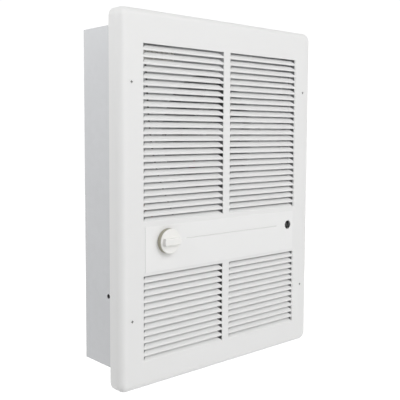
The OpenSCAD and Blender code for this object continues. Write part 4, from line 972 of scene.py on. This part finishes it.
def knob_grip(bm):
    """The bar across the knob. Its faces that look to the left are painted a greyer tone, as
    painted shade.
    """
    foot_y = KNOB_DISC_Y + GRIP_FOOT
    outline = ring(bm, KNOB_X, foot_y, CONTROLS_Z, GRIP_R, KNOB_SIDES)
    bmesh.ops.contextual_create(bm, geom=outline)
    for side in (-1, 1):
        slice_at(bm, lying_in(bm.faces, foot_y), Z, CONTROLS_Z + side * GRIP_W / 2)
    bar = [f for f in lying_in(bm.faces, foot_y)
           if abs(f.calc_center_median().z - CONTROLS_Z) < GRIP_W / 4]
    waste = [f for f in lying_in(bm.faces, foot_y) if f not in bar]
    bmesh.ops.delete(bm, geom=waste, context="FACES")
    raised = bmesh.ops.extrude_face_region(bm, geom=bar)["geom"]
    top = [v for v in raised if isinstance(v, bmesh.types.BMVert)]
    bmesh.ops.translate(bm, vec=(0, KNOB_FRONT_Y - foot_y, 0), verts=top)
    bmesh.ops.recalc_face_normals(bm, faces=bm.faces)
    round_over(bm, lying_in(bm.edges, KNOB_FRONT_Y), GRIP_EDGE_R, steps=4)
    # Faces that look to the left get the greyer finish: painted shade.
    for face in bm.faces:
        face.normal_update()
        if face.normal.x < SHADED_END_NORMAL_X:
            face.material_index = THIRD_MATERIAL


def thermostat_knob():
    """Moulded knob: a round body with a grip bar across it, which is shaped on its own."""
    disc = bmesh.new()
    knob_disc(disc)
    bm = bmesh.new()
    knob_grip(bm)
    bm.from_mesh(mesh_of("knob_body", disc))
    piece("control_knob", bm, "knob", ["knob_plastic", "knob_side_painted_shade", "knob_end_painted_shade"],
          "thermostat_knob")


def reset_button():
    """Button with a rounded cap on a thin stem."""
    bm = bmesh.new()
    drum(bm, RESET_X, CONTROLS_Z, CAP_FRONT_Y, CAP_BACK_Y, CAP_R, CAP_R, CAP_SIDES)
    round_over(bm, lying_in(bm.edges, CAP_FRONT_Y), CAP_EDGE_R, steps=5)
    round_over(bm, lying_in(bm.edges, CAP_BACK_Y), CAP_BACK_EDGE_R, steps=2)
    drum(bm, RESET_X, CONTROLS_Z, CAP_BACK_Y, STEM_BACK_Y, STEM_R, STEM_R, STEM_SIDES)
    round_over(bm, lying_in(bm.edges, STEM_BACK_Y), STEM_END_R, steps=3)
    piece("domed_reset_button", bm, "reset", ["black_plastic"], "reset_button")


def spring_route():
    """A helix with closed ends, in mm, between the guide's floor and the cap."""
    back = GUIDE_FLOOR_Y - SPRING_PLAY - SPRING_WIRE_R
    front = CAP_BACK_Y + SPRING_PLAY + SPRING_WIRE_R
    turns = SPRING_CURLS + 2 * SPRING_END_CURL
    steps = int(turns * SPRING_STEPS_A_CURL)
    route = []
    for i in range(steps + 1):
        turn = turns * i / steps
        share = min(max((turn - SPRING_END_CURL) / SPRING_CURLS, 0), 1)
        angle = 2 * math.pi * turn
        reach = SPRING_R - SPRING_WIRE_R
        place = Vector((RESET_X + reach * math.cos(angle), back + share * (front - back),
                        CONTROLS_Z + reach * math.sin(angle)))
        route.append(place / MM)
    return route


def reset_spring():
    """Coil spring behind the button's cap, which presses it towards its guide's floor."""
    spring = bent_wires("coil_spring", [spring_route()], SPRING_WIRE_R / MM, "bare_steel",
                        "reset_spring")
    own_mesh(spring)


# ---------- Inside ----------

def fan_disc(bm):
    """The fan's flat middle, with a round bead pressed into it."""
    rims = [ring(bm, 0, FAN_Y, FAN_Z, FAN_BORE_R, FAN_SIDES)]
    for i in range(FAN_BEAD_STEPS + 1):
        bead = FAN_BEAD_H * math.sin(math.pi * i / FAN_BEAD_STEPS)
        r = FAN_BEAD_R + FAN_BEAD_W * (i / FAN_BEAD_STEPS - 0.5)
        rims.append(ring(bm, 0, FAN_Y - bead, FAN_Z, r, FAN_SIDES))
    rims.append(ring(bm, 0, FAN_Y, FAN_Z, FAN_DISC_R, FAN_SIDES))
    for inner, outer in zip(rims, rims[1:]):
        facing_room(bmesh.ops.bridge_loops(bm, edges=inner + outer)["faces"])


def fan_blade(bm, turn):
    """A cambered blade that turns out of the disc's plane into its pitch."""
    made = bmesh.ops.create_grid(bm, x_segments=BLADE_STEPS_OUT, y_segments=BLADE_STEPS_ACROSS,
                                 size=1)["verts"]
    for vert in made:
        out = (vert.co.x + 1) / 2
        across = vert.co.y
        r = BLADE_ROOT_R + (FAN_R - BLADE_ROOT_R) * out
        chord = BLADE_ROOT_CHORD + (BLADE_CHORD - BLADE_ROOT_CHORD) * out
        share = min((r - BLADE_ROOT_R) / (BLADE_FULL_PITCH_R - BLADE_ROOT_R), 1)
        set_in = share * share * (3 - 2 * share)  # eases in and out between 0 and 1
        pitch = BLADE_PITCH * set_in
        along = across * chord / 2
        angle = turn + along * math.cos(pitch) / r
        rise = along * math.sin(pitch) + BLADE_CAMBER * (1 - across * across) * set_in
        vert.co = (r * math.cos(angle), FAN_Y - rise, FAN_Z + r * math.sin(angle))
    facing_room({f for v in made for f in v.link_faces})


def fan():
    """Pressed aluminium fan of five cambered blades."""
    bm = bmesh.new()
    fan_disc(bm)
    for i in range(FAN_BLADES):
        fan_blade(bm, 2 * math.pi * i / FAN_BLADES)
    bmesh.ops.translate(bm, vec=(0, -BLADE_SHEET / 2, 0), verts=bm.verts)
    piece("pressed_fan", bm, "fan", ["fan_aluminium"], "fan_blade", sheet=BLADE_SHEET)


def wiring():
    """The heater's wires and the thermostat's capillary."""
    bent_wires("bent_black_wires", [LINE_ROUTE, LIMIT_ROUTE], WIRE_R, "wire_black", "black_wires")
    bent_wires("bent_white_wire", [NEUTRAL_ROUTE], WIRE_R, "wire_white", "white_wire")
    bent_wires("bent_red_wires", [ELEMENT_ROUTE, DELAY_ROUTE], WIRE_R, "wire_red", "red_wires")
    bent_wires("bent_motor_leads", [MOTOR_LEAD_ROUTE, MOTOR_RETURN_ROUTE], WIRE_R, "wire_blue",
               "motor_leads")
    bent_wires("bent_capillary", [CAPILLARY_ROUTE], CAPILLARY_R, "copper", "thermostat_capillary")


# ---------- Stage ----------

def shown_rays(tree):
    """1 for rays from the camera or through a mirror or glass, 0 for light on a surface."""
    rays = add(tree, "LightPath").outputs
    some = add(tree, "Math", {0: rays["Is Camera Ray"], 1: rays["Is Glossy Ray"]},
               operation="MAXIMUM").outputs[0]
    return add(tree, "Math", {0: some, 1: rays["Is Transmission Ray"]},
               operation="MAXIMUM").outputs[0]


def studio_floor():
    """Wide pale floor, far below the heater."""
    bm = bmesh.new()
    bmesh.ops.create_grid(bm, x_segments=1, y_segments=1, size=FLOOR_REACH,
                          matrix=Matrix.Translation((0, 0, FLOOR_Z)))
    obj = placed("studio_floor", mesh_of("studio_floor", bm))
    material = bpy.data.materials.new("pale_floor")
    material.use_nodes = True
    tree = material.node_tree
    tree.nodes.remove(tree.nodes["Principled BSDF"])
    matt = add(tree, "BsdfDiffuse", {"Color": (0.95, 0.95, 0.95, 1)}).outputs[0]
    shown = shown_rays(tree)
    glow = add(tree, "Emission", {"Color": (1, 1, 1, 1), "Strength": shown}).outputs[0]
    both = add(tree, "AddShader", {0: matt, 1: glow}).outputs[0]
    tree.links.new(both, tree.nodes["Material Output"].inputs["Surface"])
    obj.data.materials.append(material)


def studio_world():
    """White where it is seen, softer where it lights."""
    world = bpy.data.worlds.new("studio")
    world.use_nodes = True
    bpy.context.scene.world = world
    tree = world.node_tree
    strength = add(tree, "Math", {0: shown_rays(tree), 1: SHOWN_WHITE - AMBIENT, 2: AMBIENT},
                   operation="MULTIPLY_ADD").outputs[0]
    tree.links.new(strength, tree.nodes["Background"].inputs["Strength"])
    tree.nodes["Background"].inputs["Color"].default_value = (1, 1, 1, 1)


def softbox(name, place, size, power):
    """A square lamp that looks at the origin."""
    lamp = bpy.data.lights.new(name, "AREA")
    lamp.size = size
    lamp.energy = power
    obj = placed(name, lamp)
    obj.location = place
    obj.rotation_euler = (-Vector(place)).to_track_quat("-Z", "Y").to_euler()


def photo_camera():
    """The camera, where the photograph was taken from."""
    camera = bpy.data.cameras.new("camera")
    camera.lens = CAMERA_LENS
    camera.sensor_width = 36
    camera.shift_y = CAMERA_SHIFT
    camera.clip_start = 0.01
    obj = placed("camera", camera)
    turn = (Matrix.Rotation(math.radians(CAMERA_HEADING), 4, "Z")
            @ Matrix.Rotation(math.radians(90 - CAMERA_DOWN), 4, "X")
            @ Matrix.Rotation(math.radians(CAMERA_ROLL), 4, "Z"))
    obj.matrix_world = Matrix.Translation(CAMERA_PLACE) @ turn
    bpy.context.scene.camera = obj


photo_camera()
studio_floor()
studio_world()
for lamp in LAMPS:
    softbox(*lamp)

finishes = all_finishes()
for subpart in frame["record"]["subparts"]:
    dress(frame["nodes"][subpart["node"]], [subpart["material_slot"]])

front_cover()
control_strip()
cover_screws()
thermostat_knob()
reset_button()
reset_spring()
fan()
wiring()

bpy.context.scene.view_settings.view_transform = "Standard"
